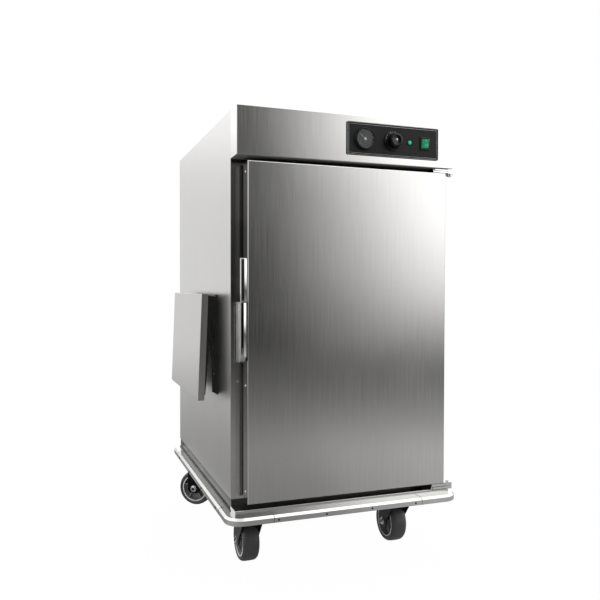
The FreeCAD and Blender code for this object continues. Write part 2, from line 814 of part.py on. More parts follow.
def door():
    skin_back = "-front_reach + door_skin_depth"
    across = ("door_left", "door_right")
    upright = ("door_bottom", "door_top")
    skin = box_body("door_pan", across, ("-front_reach", skin_back), upright)
    round_edges(
        skin, "door_bends", "door_edge_bend",
        lambda edge, box: close(edge.CenterOfMass.y, box.YMin),
    )
    cut_box(
        skin, "door_pan_hollow", ("door_left + sheet", "door_right - sheet"),
        ("-front_reach + sheet", skin_back + " - sheet"), ("door_bottom + sheet", "door_top - sheet"),
    )
    # The skin's edges turn in behind it and end where the inner panel stands.
    inner_x = ("door_left + door_step", "door_right - door_step")
    inner_z = ("door_bottom + door_step", "door_top - door_step")
    mouth_x = (inner_x[0] + " + sheet", inner_x[1] + " - sheet")
    mouth_z = (inner_z[0] + " + sheet", inner_z[1] + " - sheet")
    cut_box(skin, "door_pan_mouth", mouth_x, (skin_back + " - 5", skin_back + " + 5"), mouth_z)
    node("door_skin", skin)
    inner = box_body("inner_pan", inner_x, (skin_back, "-gasket_depth"), inner_z)
    cut_box(inner, "inner_pan_hollow", mouth_x, (skin_back + " - 5", "-gasket_depth - sheet"), mouth_z)
    node("door_inner_panel", inner)
    filling = box_body(
        "door_filling", ("door_left + door_step + 1.5", "door_right - door_step - 1.5"),
        ("-front_reach + 1.5", "-gasket_depth - 1.5"),
        ("door_bottom + door_step + 1.5", "door_top - door_step - 1.5"),
    )
    node("door_insulation", filling)
    gasket_x = (inner_x[0] + " + 3", inner_x[1] + " - 3")
    gasket_z = (inner_z[0] + " + 3", inner_z[1] + " - 3")
    gasket = box_body("gasket_strip", gasket_x, ("-gasket_depth", "-0.3"), gasket_z)
    cut_box(
        gasket, "gasket_hollow", (gasket_x[0] + " + gasket_width", gasket_x[1] + " - gasket_width"),
        ("-gasket_depth - 5", "5"), (gasket_z[0] + " + gasket_width", gasket_z[1] + " - gasket_width"),
    )
    node("door_gasket", gasket)
    # Four pan-head screws down each long edge, evenly spaced.
    screws = []
    for i in range(4):
        height = f"door_bottom + first_door_screw + {i} * door_screw_pitch"
        for side, x in (("left", "door_left - 1.8"), ("right", "door_right")):
            screws.append(plain_rod(f"screw_{side}_{i}", "X", x, "-front_reach + door_screw_inset", height,
                                    "4", "1.8"))
    node("door_edge_screws", group("edge_screws", screws))


def hinges():
    # Each hinge is two stacked bars that end in knuckles on one upright pin.
    near = "hinge_y - hinge_width / 2"
    far = "hinge_y + hinge_width / 2"
    left = "hinge_x - hinge_length"
    right = "hinge_x + 10"
    stacks = (
        ("top", "door_top", "door_top + 5.8", "door_top + 6.3", "frame_top - 0.2"),
        ("bottom", "door_bottom - 8.8", "door_bottom", "ledge_top", "door_bottom - 9.3"),
    )
    straps = []
    brackets = []
    pins = []
    for place, strap_low, strap_high, plate_low, plate_high in stacks:
        strap = box_body(f"strap_{place}", (left, right), (near, far), (strap_low, strap_high))
        if place == "top":
            add_rod(strap, "knuckle_top", "Z", "hinge_x", "hinge_y", "door_top - knuckle_drop",
                    "knuckle_radius", "knuckle_drop + 5.8")
        round_edges(
            strap, f"strap_{place}_ends", "6",
            lambda edge, box: close(edge.CenterOfMass.x, box.XMax) and edge.BoundBox.ZLength > 5,
        )
        cut_rod(strap, f"strap_{place}_bore", "Z", "hinge_x", "hinge_y", "door_bottom - 40",
                "hinge_pin + 0.3", "door_top - door_bottom + 80")
        straps.append(strap)
        plate = box_body(f"bracket_{place}", (left, right), (near, "0"), (plate_low, plate_high))
        round_edges(
            plate, f"bracket_{place}_ends", "6",
            lambda edge, box: close(edge.CenterOfMass.y, box.YMin) and edge.BoundBox.ZLength > 3,
        )
        cut_rod(plate, f"bracket_{place}_bore", "Z", "hinge_x", "hinge_y", "door_bottom - 40",
                "hinge_pin", "door_top - door_bottom + 80")
        brackets.append(plate)
    pins.append(plain_rod("pin_top", "Z", "hinge_x", "hinge_y", "door_top - pin_head_drop", "hinge_pin",
                          "frame_top - door_top + pin_head_drop"))
    pins.append(plain_rod("pin_top_cap", "Z", "hinge_x", "hinge_y", "door_top - pin_head_drop",
                          "pin_head_radius", "2.2"))
    pins.append(plain_rod("pin_bottom", "Z", "hinge_x", "hinge_y", "ledge_top", "hinge_pin",
                          "door_bottom + 3 - ledge_top"))
    top_pin = DOC.addObject("Part::MultiFuse", "pin_top_whole")
    top_pin.Shapes = pins[:2]
    node("hinge_straps", group("straps", straps))
    node("hinge_brackets", group("brackets", brackets))
    node("hinge_pins", group("pins", [top_pin, pins[2]]))


def latch():
    # Edge-mounted latch: a slotted body on the door, a pull lever, and a keeper on the frame.
    across = ("latch_left", "latch_right")
    body = box_body("latch_casting", across, ("latch_front", "latch_back"), ("latch_bottom", "latch_top"))
    round_edges(
        body, "latch_toe", "latch_toe_radius",
        lambda edge, box: close(edge.CenterOfMass.y, box.YMin) and close(edge.CenterOfMass.z, box.ZMin),
    )
    round_edges(
        body, "latch_rounding", "3",
        lambda edge, box: close(edge.CenterOfMass.y, box.YMin),
    )
    slot_x = ("latch_left + 3.4", "latch_left + 8.6")
    cut_box(body, "lever_slot", slot_x, ("latch_front - 5", "latch_back + 5"), ("pivot_z - 12", "latch_top + 5"))
    cut_box(body, "front_slot", slot_x, ("latch_front - 5", "latch_front + 8"),
            ("latch_bottom + 40", "pivot_z - 10"))
    add_rod(body, "latch_pivot", "X", "latch_left + 1", "pivot_y", "pivot_z", "pivot_radius",
            "latch_right - latch_left - 2")
    # A pad behind the casting stands it off the door's edge.
    add_box(body, "latch_pad", ("latch_right - 2", "door_left - 0.2"), ("latch_front + 9", "latch_back - 5"),
            ("latch_bottom + 14", "latch_top - 8"))
    node("latch_body", body)
    lever = new_body("latch_lever")
    pad(lever, "lever_arm", "YZ_Plane", "latch_left + 3.9", [
        ("pivot_y - 6", "pivot_z - 6"),
        ("pivot_y - 19", "pivot_z + 40"),
        ("pivot_y - 19", "pivot_z + 66"),
        ("grip_front + 2", "latch_top + 8"),
        ("grip_front + 2", "latch_top + 28"),
        ("grip_front + grip_thick", "latch_top + 28"),
        ("pivot_y - 8", "latch_top - 6"),
        ("pivot_y - 4", "pivot_z + 30"),
        ("pivot_y + 6", "pivot_z + 8"),
        ("-10", "pivot_z + 5"),
        ("-10", "pivot_z - 5"),
        ("pivot_y + 6", "pivot_z - 6"),
    ], "4.2")
    add_box(lever, "lever_grip", across, ("grip_front", "grip_front + grip_thick"),
            ("latch_top + 1", "grip_top"))
    round_edges(
        lever, "grip_rounding", "2",
        lambda edge, box: close(edge.CenterOfMass.y, box.YMin),
    )
    cut_box(lever, "grip_inlay", slot_x,
            ("grip_front - 5", "grip_front + 1.5"), ("latch_top + 6", "grip_top - 6"))
    cut_rod(lever, "lever_bore", "X", "latch_left - 5", "pivot_y", "pivot_z", "pivot_radius + 0.3", "40")
    node("latch_handle", lever)
    keeper = box_body("keeper_base", ("7", "19"), ("-3", "0"), ("latch_bottom - 5", "latch_top - 2"))
    round_edges(
        keeper, "keeper_ends", "5",
        lambda edge, box: close(edge.BoundBox.YLength, box.YLength),
    )
    add_box(keeper, "keeper_rib", ("7", "10"), ("-18", "-1"), ("latch_bottom + 4", "latch_top - 11"))
    add_box(keeper, "keeper_lug", ("8", "19"), ("-16", "-1"), ("pivot_z - 22", "pivot_z - 9"))
    for name, height in (("upper", "latch_top - 18"), ("lower", "latch_bottom + 33")):
        add_rod(keeper, "keeper_screw_" + name, "Y", "14.5", "-4.6", height, "3.6", "3")
    node("latch_keeper", keeper)


# Fold-down shelf on the left side. Its pieces are drawn hanging straight from their hinge, with
# the hinge at the drawing's origin, then tilted and hung in place.


def shelf():
    tilt = {"x": "shelf_axis_x", "z": "shelf_axis_z", "turn": "shelf_tilt", "about": FreeCAD.Vector(0, 1, 0)}
    depth = ("shelf_front", "shelf_back")
    inner = "-shelf_outer + shelf_thick"
    board = box_body("shelf_pan", ("-shelf_outer", inner), depth, ("-shelf_below", "shelf_above"))
    round_edges(
        board, "shelf_bends", "1.5",
        lambda edge, box: close(edge.CenterOfMass.x, box.XMin),
    )
    cut_box(
        board, "shelf_pan_hollow", ("-shelf_outer + sheet", inner + " + 5"),
        ("shelf_front + sheet", "shelf_back - sheet"), ("-shelf_below + sheet", "shelf_above - sheet"),
    )
    node("shelf_board", board, **tilt)
    arms = []
    for place, front in (("front", "shelf_front + 3"), ("back", "shelf_back - 6")):
        arm = new_body(f"shelf_arm_{place}")
        pad(arm, f"arm_{place}_shape", "XZ_Plane", f"-(({front}) + 3)", [
            ("-shelf_outer + sheet", "10"),
            (inner, "12"),
            ("9", "9"),
            ("9", "-9"),
            ("2", "-strut_seat - 12"),
            ("-6", "-shelf_below + 16"),
            ("-shelf_outer + sheet", "-shelf_below + 16"),
        ], "3")
        cut_rod(arm, f"arm_{place}_bore", "Y", "0", f"({front}) - 5", "0", "4.3", "15")
        inward = "3" if place == "front" else "-4.5"
        add_rod(arm, f"arm_{place}_stud", "Y", "0", f"({front}) + {inward}", "-strut_seat", "3", "4.5")
        arms.append(arm)
    node("shelf_arms", group("arms", arms), **tilt)
    # Wall brackets: a back plate on the side panel, a cheek with the hinge bore, and the rod.
    brackets = []
    for place, cheek in (("front", "shelf_front + 14"), ("back", "shelf_back - 17")):
        back_y = (cheek, f"{cheek} + 26") if place == "front" else (f"{cheek} - 23", f"{cheek} + 3")
        bracket = box_body(
            f"shelf_bracket_{place}", ("-3", "0"), back_y, ("shelf_axis_z - 278", "shelf_axis_z + 14"))
        pad(bracket, f"cheek_{place}", "XZ_Plane", f"-(({cheek}) + 3)", [
            ("0", "shelf_axis_z + 8"),
            ("shelf_axis_x - 6", "shelf_axis_z + 8"),
            ("shelf_axis_x - 6", "shelf_axis_z - 9"),
            ("-16", "shelf_axis_z - 60"),
            ("-16", "shelf_axis_z - 270"),
            ("0", "shelf_axis_z - 276"),
        ], "3")
        cut_rod(bracket, f"cheek_{place}_bore", "Y", "shelf_axis_x", f"({cheek}) - 5", "shelf_axis_z", "4", "15")
        cut_box(
            bracket, f"cheek_{place}_slot", ("strut_slot_x - 2", "strut_slot_x + 2"),
            (f"({cheek}) - 2", f"({cheek}) + 5"),
            ("shelf_axis_z - strut_seat - strut_length - 5", "shelf_axis_z - strut_seat + 5"),
        )
        brackets.append(bracket)
    rod = plain_rod("shelf_rod", "Y", "shelf_axis_x", "shelf_front + 1.5", "shelf_axis_z", "4",
                    "shelf_back - shelf_front - 3")
    node("shelf_brackets", group("wall_brackets", brackets + [rod]))
    # Struts: flat bars pinned to the arms, drawn hanging from their studs.
    struts = []
    for place, front in (("front", "shelf_front + 7.5"), ("back", "shelf_back - 10.5")):
        strut = box_body(
            f"strut_{place}", ("-5", "5"), (front, f"({front}) + 2.5"), ("-strut_length", "6"))
        round_edges(
            strut, f"strut_{place}_ends", "4.5",
            lambda edge, box: close(edge.BoundBox.YLength, box.YLength),
        )
        cut_rod(strut, f"strut_{place}_bore", "Y", "0", f"({front}) - 5", "0", "3.3", "15")
        struts.append(strut)
    # The stud's place once the arm has been tilted with the shelf; each foot leans to its slot.
    stud_x = "shelf_axis_x - strut_seat * sin(shelf_tilt)"
    stud_z = "shelf_axis_z - strut_seat * cos(shelf_tilt)"
    node("shelf_struts", group("strut_pair", struts), x=stud_x, z=stud_z,
         turn=f"asin((strut_slot_x - ({stud_x})) / strut_length)", about=FreeCAD.Vector(0, -1, 0))


# Base: skirt, ledge, welded tube chassis and the bumper round it


def base():
    low_x = "skirt_inset"
    high_x = "body_width - skirt_inset"
    low_y = "skirt_inset"
    high_y = "body_depth - skirt_inset"
    skirt = box_body("skirt_tray", (low_x, high_x), (low_y, high_y), ("chassis_top", "body_bottom"))
    cut_box(
        skirt, "skirt_hollow", (f"{low_x} + sheet", f"{high_x} - sheet"),
        (f"{low_y} + sheet", f"{high_y} - sheet"), ("chassis_top - 5", "body_bottom - sheet"),
    )
    node("base_skirt", skirt)
    ledge = box_body("ledge_channel", ("0", "body_width"), ("chassis_front", "skirt_inset"),
                     ("chassis_top", "ledge_top"))
    round_edges(
        ledge, "ledge_bend", "1.5",
        lambda edge, box: close(edge.CenterOfMass.y, box.YMin) and close(edge.CenterOfMass.z, box.ZMax),
    )
    cut_box(ledge, "ledge_hollow", ("sheet", "body_width - sheet"), ("chassis_front + sheet", "skirt_inset + 5"),
            ("chassis_top - 5", "ledge_top - sheet"))
    node("front_ledge", ledge)


def tube(name, along, x, y):
    """One welded square tube, open at its ends."""
    upright = ("chassis_bottom", "chassis_top")
    outer = plain_box(name + "_outer", x, y, upright)
    inner_z = ("chassis_bottom + tube_wall", "chassis_top - tube_wall")
    if along == "Y":
        inner = plain_box(name + "_inner", (f"{x[0]} + tube_wall", f"{x[1]} - tube_wall"),
                          (f"{y[0]} - 1", f"{y[1]} + 1"), inner_z)
    else:
        inner = plain_box(name + "_inner", (f"{x[0]} - 1", f"{x[1]} + 1"),
                          (f"{y[0]} + tube_wall", f"{y[1]} - tube_wall"), inner_z)
    return cut(name, outer, inner)


def chassis():
    long_y = ("chassis_front", "body_depth")
    between = ("tube_width", "body_width - tube_width")
    tubes = [
        tube("tube_left", "Y", ("0", "tube_width"), long_y),
        tube("tube_right", "Y", ("body_width - tube_width", "body_width"), long_y),
        tube("tube_front", "X", between, ("chassis_front", "chassis_front + tube_width")),
        tube("tube_back", "X", between, ("body_depth - tube_width", "body_depth")),
    ]
    pads = []
    for place, centre in (("front", "caster_y"), ("back", "body_depth - caster_y")):
        tubes.append(tube(f"tube_casters_{place}", "X", between,
                          (f"{centre} - tube_width / 2", f"{centre} + tube_width / 2")))
        for side, x in (("left", "caster_x"), ("right", "body_width - caster_x")):
            pads.append(plain_box(f"pad_{place}_{side}", (f"{x} - 55", f"{x} + 55"),
                                  (f"{centre} - 50", f"{centre} + 50"), ("chassis_bottom - 6", "chassis_bottom")))
    node("chassis_frame", group("chassis_tubes", tubes + pads))


def bumper():
    # One extruded section runs all round; cast corners and straight rails are cut out of it.
    ring = box_body(
        "bumper_ring", ("-bumper_reach", "body_width + bumper_reach"),
        ("chassis_front - bumper_reach", "body_depth + bumper_reach"), ("bumper_bottom", "bumper_top"),
    )
    round_edges(
        ring, "bumper_bends", "bumper_corner",
        lambda edge, box: close(edge.BoundBox.ZLength, box.ZLength),
    )
    top = ring.Tip
    edges = [
        f"Edge{number}"
        for number, edge in enumerate(top.Shape.Edges, start=1)
        if close(edge.BoundBox.ZMin, top.Shape.BoundBox.ZMax)
    ]
    bevel = ring.newObject("PartDesign::Chamfer", "bumper_bevels")
    bevel.Base = (top, edges)
    bevel.setExpression("Size", cells("bumper_bevel"))
    DOC.recompute()
    round_edges(
        ring, "bumper_lower_edge", "2",
        lambda edge, box: close(edge.BoundBox.ZMax, box.ZMin),
    )
    cut_box(
        ring, "bumper_middle", ("0", "body_width"), ("chassis_front", "body_depth"),
        ("bumper_bottom - 5", "bumper_top + 5"),
    )
    # The section is hollow: a channel on its inside follows the corners, open towards the chassis.
    wall = "bumper_reach - 2 * bumper_wall"
    channel = box_body(
        "bumper_channel", (f"-({wall})", f"body_width + {wall}"),
        (f"chassis_front - ({wall})", f"body_depth + {wall}"),
        ("bumper_bottom + bumper_wall", "bumper_top - 2 * bumper_wall"),
    )
    round_edges(
        channel, "channel_bends", "bumper_corner - 2 * bumper_wall",
        lambda edge, box: close(edge.BoundBox.ZLength, box.ZLength),
    )
    section = cut("bumper_section", ring, channel)
    low_x = "-bumper_reach"
    high_x = "body_width + bumper_reach"
    low_y = "chassis_front - bumper_reach"
    high_y = "body_depth + bumper_reach"
    height = ("bumper_bottom - 5", "bumper_top + 5")
    corners = []
    for side, x in (
        ("left", (f"{low_x} - 5", f"{low_x} + corner_front_leg")),
        ("right", (f"{high_x} - corner_front_leg", f"{high_x} + 5")),
    ):
        for place, y in (
            ("front", (f"{low_y} - 5", f"{low_y} + corner_side_leg")),
            ("back", (f"{high_y} - corner_side_leg", f"{high_y} + 5")),
        ):
            corners.append(plain_box(f"corner_{side}_{place}", x, y, height))
    casts = [common(f"cast_{item.Name}", section, item) for item in corners]
    node("bumper_corners", group("corner_castings", casts))
    long_x = (f"{low_x} + corner_front_leg + seam", f"{high_x} - corner_front_leg - seam")
    long_y = (f"{low_y} + corner_side_leg + seam", f"{high_y} - corner_side_leg - seam")
    rails = [
        plain_box("rail_front_zone", long_x, (f"{low_y} - 5", "chassis_front"), height),
        plain_box("rail_back_zone", long_x, ("body_depth", f"{high_y} + 5"), height),
        plain_box("rail_left_zone", (f"{low_x} - 5", "0"), long_y, height),
        plain_box("rail_right_zone", ("body_width", f"{high_x} + 5"), long_y, height),
    ]
    lengths = [common(item.Name.replace("_zone", ""), section, item) for item in rails]
    node("bumper_rails", group("rails", lengths))


# Casters. Each is drawn about its own swivel axis, with the wheel trailing towards +Y.


def caster_plates():
    plates = []
    for place, y in (("front", "caster_y"), ("back", "body_depth - caster_y")):
        for side, x in (("left", "caster_x"), ("right", "body_width - caster_x")):
            name = f"{place}_{side}"
            plate = box_body(
                "top_plate_" + name, (f"{x} - 52", f"{x} + 52"), (f"{y} - 42", f"{y} + 42"),
                ("plate_underside", "chassis_bottom - 6"),
            )
            add_rod(plate, "race_" + name, "Z", x, y, "raceway_split", "30", "plate_underside - raceway_split")
            add_rod(plate, "kingpin_" + name, "Z", x, y, "crown_top - 8", "6", "30")
            add_rod(plate, "kingpin_nut_" + name, "Z", x, y, "crown_top - 9.5", "9", "5")
            for i, (step_x, step_y) in enumerate(((-1, -1), (-1, 1), (1, -1), (1, 1))):
                add_rod(plate, f"bolt_{name}_{i}", "Z", f"{x} + {step_x} * 42", f"{y} + {step_y} * 32",
                        "plate_underside - 5", "6.5", "6")
            plates.append(plate)
    node("caster_plates", group("top_plates", plates))


def caster(code, x, y, swivel, braked):
    """Fork with its axle, hub and tyre, and a pedal if it has a brake."""
    upright = FreeCAD.Vector(0, 0, 1)
    half_gap = "fork_gap / 2"
    fork = box_body(
        f"fork_crown_{code}", (f"-{half_gap} - fork_sheet", f"{half_gap} + fork_sheet"), ("-30", "50"),
        ("crown_top - 4", "crown_top"),
    )
    add_rod(fork, f"fork_race_{code}", "Z", "0", "0", "crown_top - 1", "33", "raceway_split - crown_top + 0.7")
    for side, start in (("left", f"-{half_gap} - fork_sheet"), ("right", half_gap)):
        pad(fork, f"fork_leg_{side}_{code}", "YZ_Plane", start, [
            ("-30", "crown_top"),
            ("-30", "crown_top - 8"),
            ("caster_trail - 24", "wheel_radius + 8"),
            ("caster_trail - 24", "wheel_radius - 16"),
            ("caster_trail + 24", "wheel_radius - 16"),
            ("caster_trail + 24", "crown_top - 8"),
            ("50", "crown_top"),
        ], "fork_sheet")
    round_edges(
        fork, f"fork_feet_{code}", "15",
        lambda edge, box: close(edge.BoundBox.ZMax, box.ZMin) and edge.BoundBox.YLength < 1,
    )
    cut_rod(fork, f"kingpin_bore_{code}", "Z", "0", "0", "crown_top - 10", "6.3", "40")
    add_rod(fork, f"axle_{code}", "X", "-fork_gap / 2 - fork_sheet - 6", "caster_trail", "wheel_radius",
            "axle_radius", "fork_gap + 2 * fork_sheet + 12")
    for side, start in (("left", f"-{half_gap} - fork_sheet - 4.5"), ("right", f"{half_gap} + fork_sheet")):
        add_rod(fork, f"axle_nut_{side}_{code}", "X", start, "caster_trail", "wheel_radius", "8.5", "4.5")
    if braked:
        add_rod(fork, f"brake_pin_{code}", "X", f"-{half_gap} - 1", "20", "crown_top - 8.8", "2.5",
                "fork_gap + 2")
    node("caster_fork_" + code, fork, x=x, y=y, turn=swivel, about=upright)
    axle_x = f"({x}) - caster_trail * sin({swivel})"
    axle_y = f"({y}) + caster_trail * cos({swivel})"
    hub = new_body(f"hub_{code}")
    revolve(hub, f"hub_shape_{code}", "XY_Plane", [
        ("-26.6", "axle_radius + 0.3"),
        ("-26.6", "12"),
        ("-6", "15"),
        ("-6", "tyre_inner - 6"),
        ("-21", "tyre_inner - 3.5"),
        ("-22", "tyre_inner - 3"),
        ("-22", "tyre_inner"),
        ("22", "tyre_inner"),
        ("22", "tyre_inner - 3"),
        ("21", "tyre_inner - 3.5"),
        ("6", "tyre_inner - 6"),
        ("6", "15"),
        ("26.6", "12"),
        ("26.6", "axle_radius + 0.3"),
    ], "H")
    rib = add_box(hub, f"hub_rib_{code}", ("-18", "18"), ("-2", "2"), ("11", "tyre_inner - 2"))
    DOC.recompute()
    ribs = hub.newObject("PartDesign::PolarPattern", f"hub_ribs_{code}")
    ribs.Originals = [rib]
    across = next(item for item in hub.Origin.OriginFeatures if item.Role == "X_Axis")
    ribs.Axis = (across, [""])
    ribs.Angle = 360
    ribs.Occurrences = 5
    hub.Tip = ribs
    node("wheel_hub_" + code, hub, x=axle_x, y=axle_y, z="wheel_radius", turn=swivel, about=upright)
    tyre = new_body(f"tyre_{code}")
    edge = "wheel_width / 2"
    revolve(tyre, f"tyre_shape_{code}", "XY_Plane", [
        (f"-{edge} + 3", "tyre_inner"),
        (f"-{edge}", "tyre_inner + 3"),
        (f"-{edge}", "wheel_radius - 9"),
        (f"-{edge} + 3", "wheel_radius - 3.5"),
        (f"-{edge} + 9", "wheel_radius"),
        (f"{edge} - 9", "wheel_radius"),
        (f"{edge} - 3", "wheel_radius - 3.5"),
        (edge, "wheel_radius - 9"),
        (edge, "tyre_inner + 3"),
        (f"{edge} - 3", "tyre_inner"),
    ], "H")
    node("wheel_tyre_" + code, tyre, x=axle_x, y=axle_y, z="wheel_radius", turn=swivel, about=upright)
    if braked:
        pedal = new_body(f"pedal_{code}")
        pad(pedal, f"pedal_shape_{code}", "YZ_Plane", "-21", [
            ("-4.8", "-2"),
            ("-4.8", "2"),
            ("-2", "4.2"),
            ("2.5", "3.9"),
            ("46", "4.6"),
            ("92", "12"),
            ("104", "22"),
            ("107", "20"),
            ("95", "8.5"),
            ("46", "1.6"),
            ("12", "1.2"),
            ("2.5", "-3.9"),
            ("-2", "-4.2"),
        ], "42")
        cut_rod(pedal, f"pedal_bore_{code}", "X", "-25", "0", "0", "2.8", "50")
        pedal_x = f"({x}) - 20 * sin({swivel})"
        pedal_y = f"({y}) + 20 * cos({swivel})"
        node("brake_pedal_" + code, pedal, x=pedal_x, y=pedal_y, z="crown_top - 8.8",
             turn=swivel, about=upright)


def casters():
    caster_plates()
    far_x = "body_width - caster_x"
    far_y = "body_depth - caster_y"
    caster("front_left", "caster_x", "caster_y", "0", True)
    caster("front_right", far_x, "caster_y", "0", True)
    caster("back_left", "caster_x", far_y, "left_back_swivel", False)
    caster("back_right", far_x, far_y, "right_back_swivel", False)


def check():
    """Stop if any object failed, or if any sub-part has no valid shape."""
    DOC.recompute()
    for item in DOC.Objects:
        faults = [state for state in item.State if state in ("Invalid", "Error")]
        if faults:
            raise RuntimeError(f"{item.Name} failed: {faults}")
    for item in NODES:
        if item.Shape.isNull() or not item.Shape.isValid() or not item.Shape.Solids:
            raise RuntimeError(f"{item.Label} has no valid solid")


def export():
    os.makedirs("parts", exist_ok=True)
    for item in NODES:
        item.Shape.exportStep(f"parts/{item.Label}.step")


side_panels()
back_panel()
top_panel()
door_frame()
chamber_liner()
insulation_slabs()
rack_posts()
pan_runners()
header_box()
control_plate()
thermometer()
thermostat()
lamp_and_switch()
fan_and_heater()
duct_cover()
cable_gland()
door()
hinges()
latch()
shelf()
base()
chassis()
bumper()
casters()
check()
export()
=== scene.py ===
import math

import bmesh
import bpy
from mathutils import Matrix, Vector


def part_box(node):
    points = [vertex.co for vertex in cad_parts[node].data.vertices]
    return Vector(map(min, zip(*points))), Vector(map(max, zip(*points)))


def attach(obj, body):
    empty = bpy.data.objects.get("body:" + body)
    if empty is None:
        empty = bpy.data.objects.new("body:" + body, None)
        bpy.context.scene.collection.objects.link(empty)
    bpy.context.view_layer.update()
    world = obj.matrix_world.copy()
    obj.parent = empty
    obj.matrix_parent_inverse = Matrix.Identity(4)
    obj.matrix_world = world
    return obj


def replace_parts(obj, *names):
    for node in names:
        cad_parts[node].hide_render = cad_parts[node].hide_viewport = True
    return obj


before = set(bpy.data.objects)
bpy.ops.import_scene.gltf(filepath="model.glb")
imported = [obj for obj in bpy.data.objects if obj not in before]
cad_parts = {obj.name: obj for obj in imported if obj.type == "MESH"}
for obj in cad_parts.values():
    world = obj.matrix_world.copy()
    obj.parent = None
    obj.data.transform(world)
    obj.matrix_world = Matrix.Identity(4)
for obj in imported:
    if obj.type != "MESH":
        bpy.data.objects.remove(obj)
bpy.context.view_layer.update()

# The photograph's camera: a little above half the cabinet's height, turned to see its left side
# and its door, with the lens that the body's edges agree on.

STAND = Vector((-0.7501, -2.1408, 0.8100))
TURN_RIGHT = math.radians(19.86)
LOOK_DOWN = math.radians(1.14)
LEAN = math.radians(0.11)

camera_data = bpy.data.cameras.new("photo_camera")
camera_data.sensor_width = 36.0
camera_data.lens = 40.55
camera = bpy.data.objects.new("photo_camera", camera_data)
bpy.context.collection.objects.link(camera)
aim = (
    Matrix.Rotation(-TURN_RIGHT, 4, "Z")
    @ Matrix.Rotation(math.radians(90) - LOOK_DOWN, 4, "X")
    @ Matrix.Rotation(LEAN, 4, "Z")
)
camera.matrix_world = Matrix.Translation(STAND) @ aim
bpy.context.scene.camera = camera
bpy.context.scene.view_settings.view_transform = "Standard"


# The studio: a pale floor and a white sweep behind the object. Round it stand a dark side at the
# front left and a large soft bright side at the right, which is what the steel's long gradients
# show, and the floor glows for reflections, a painted light that fades with distance and is darker
# round the cabinet as a painted shadow.


def linear(code):
    """Turn an sRGB hex colour into the linear values that shaders take."""
    channels = [int(code[i:i + 2], 16) / 255 for i in (0, 2, 4)]
    return tuple(c / 12.92 if c <= 0.04045 else ((c + 0.055) / 1.055) ** 2.4 for c in channels) + (1.0,)


def add(tree, kind, inputs=None, **settings):
    """Add a shader node; an input is given as a value, or as the socket that feeds it."""
    made = tree.nodes.new("ShaderNode" + kind)
    for name, value in settings.items():
        setattr(made, name, value)
    for name, value in (inputs or {}).items():
        if isinstance(value, bpy.types.NodeSocket):
            tree.links.new(value, made.inputs[name])
        else:
            made.inputs[name].default_value = value
    return made


def steps_of(ramp, stops, between="EASE"):
    """Give a colour ramp its grey stops, each a place and a level."""
    ramp.color_ramp.interpolation = between
    while len(ramp.color_ramp.elements) < len(stops):
        ramp.color_ramp.elements.new(0.5)
    for element, (place, level) in zip(ramp.color_ramp.elements, stops):
        element.position = place
        element.color = (level, level, level, 1.0)


def round_from_front(tree, x, y):
    """The angle round from straight ahead of the door, towards its hinge side, in turns from -0.5."""
    ahead = add(tree, "Math", {0: y, 1: -1.0}, operation="MULTIPLY").outputs[0]
    angle = add(tree, "Math", {0: x, 1: ahead}, operation="ARCTAN2").outputs[0]
    return add(tree, "MapRange", {"Value": angle, "From Min": -math.pi, "From Max": math.pi}).outputs[0]


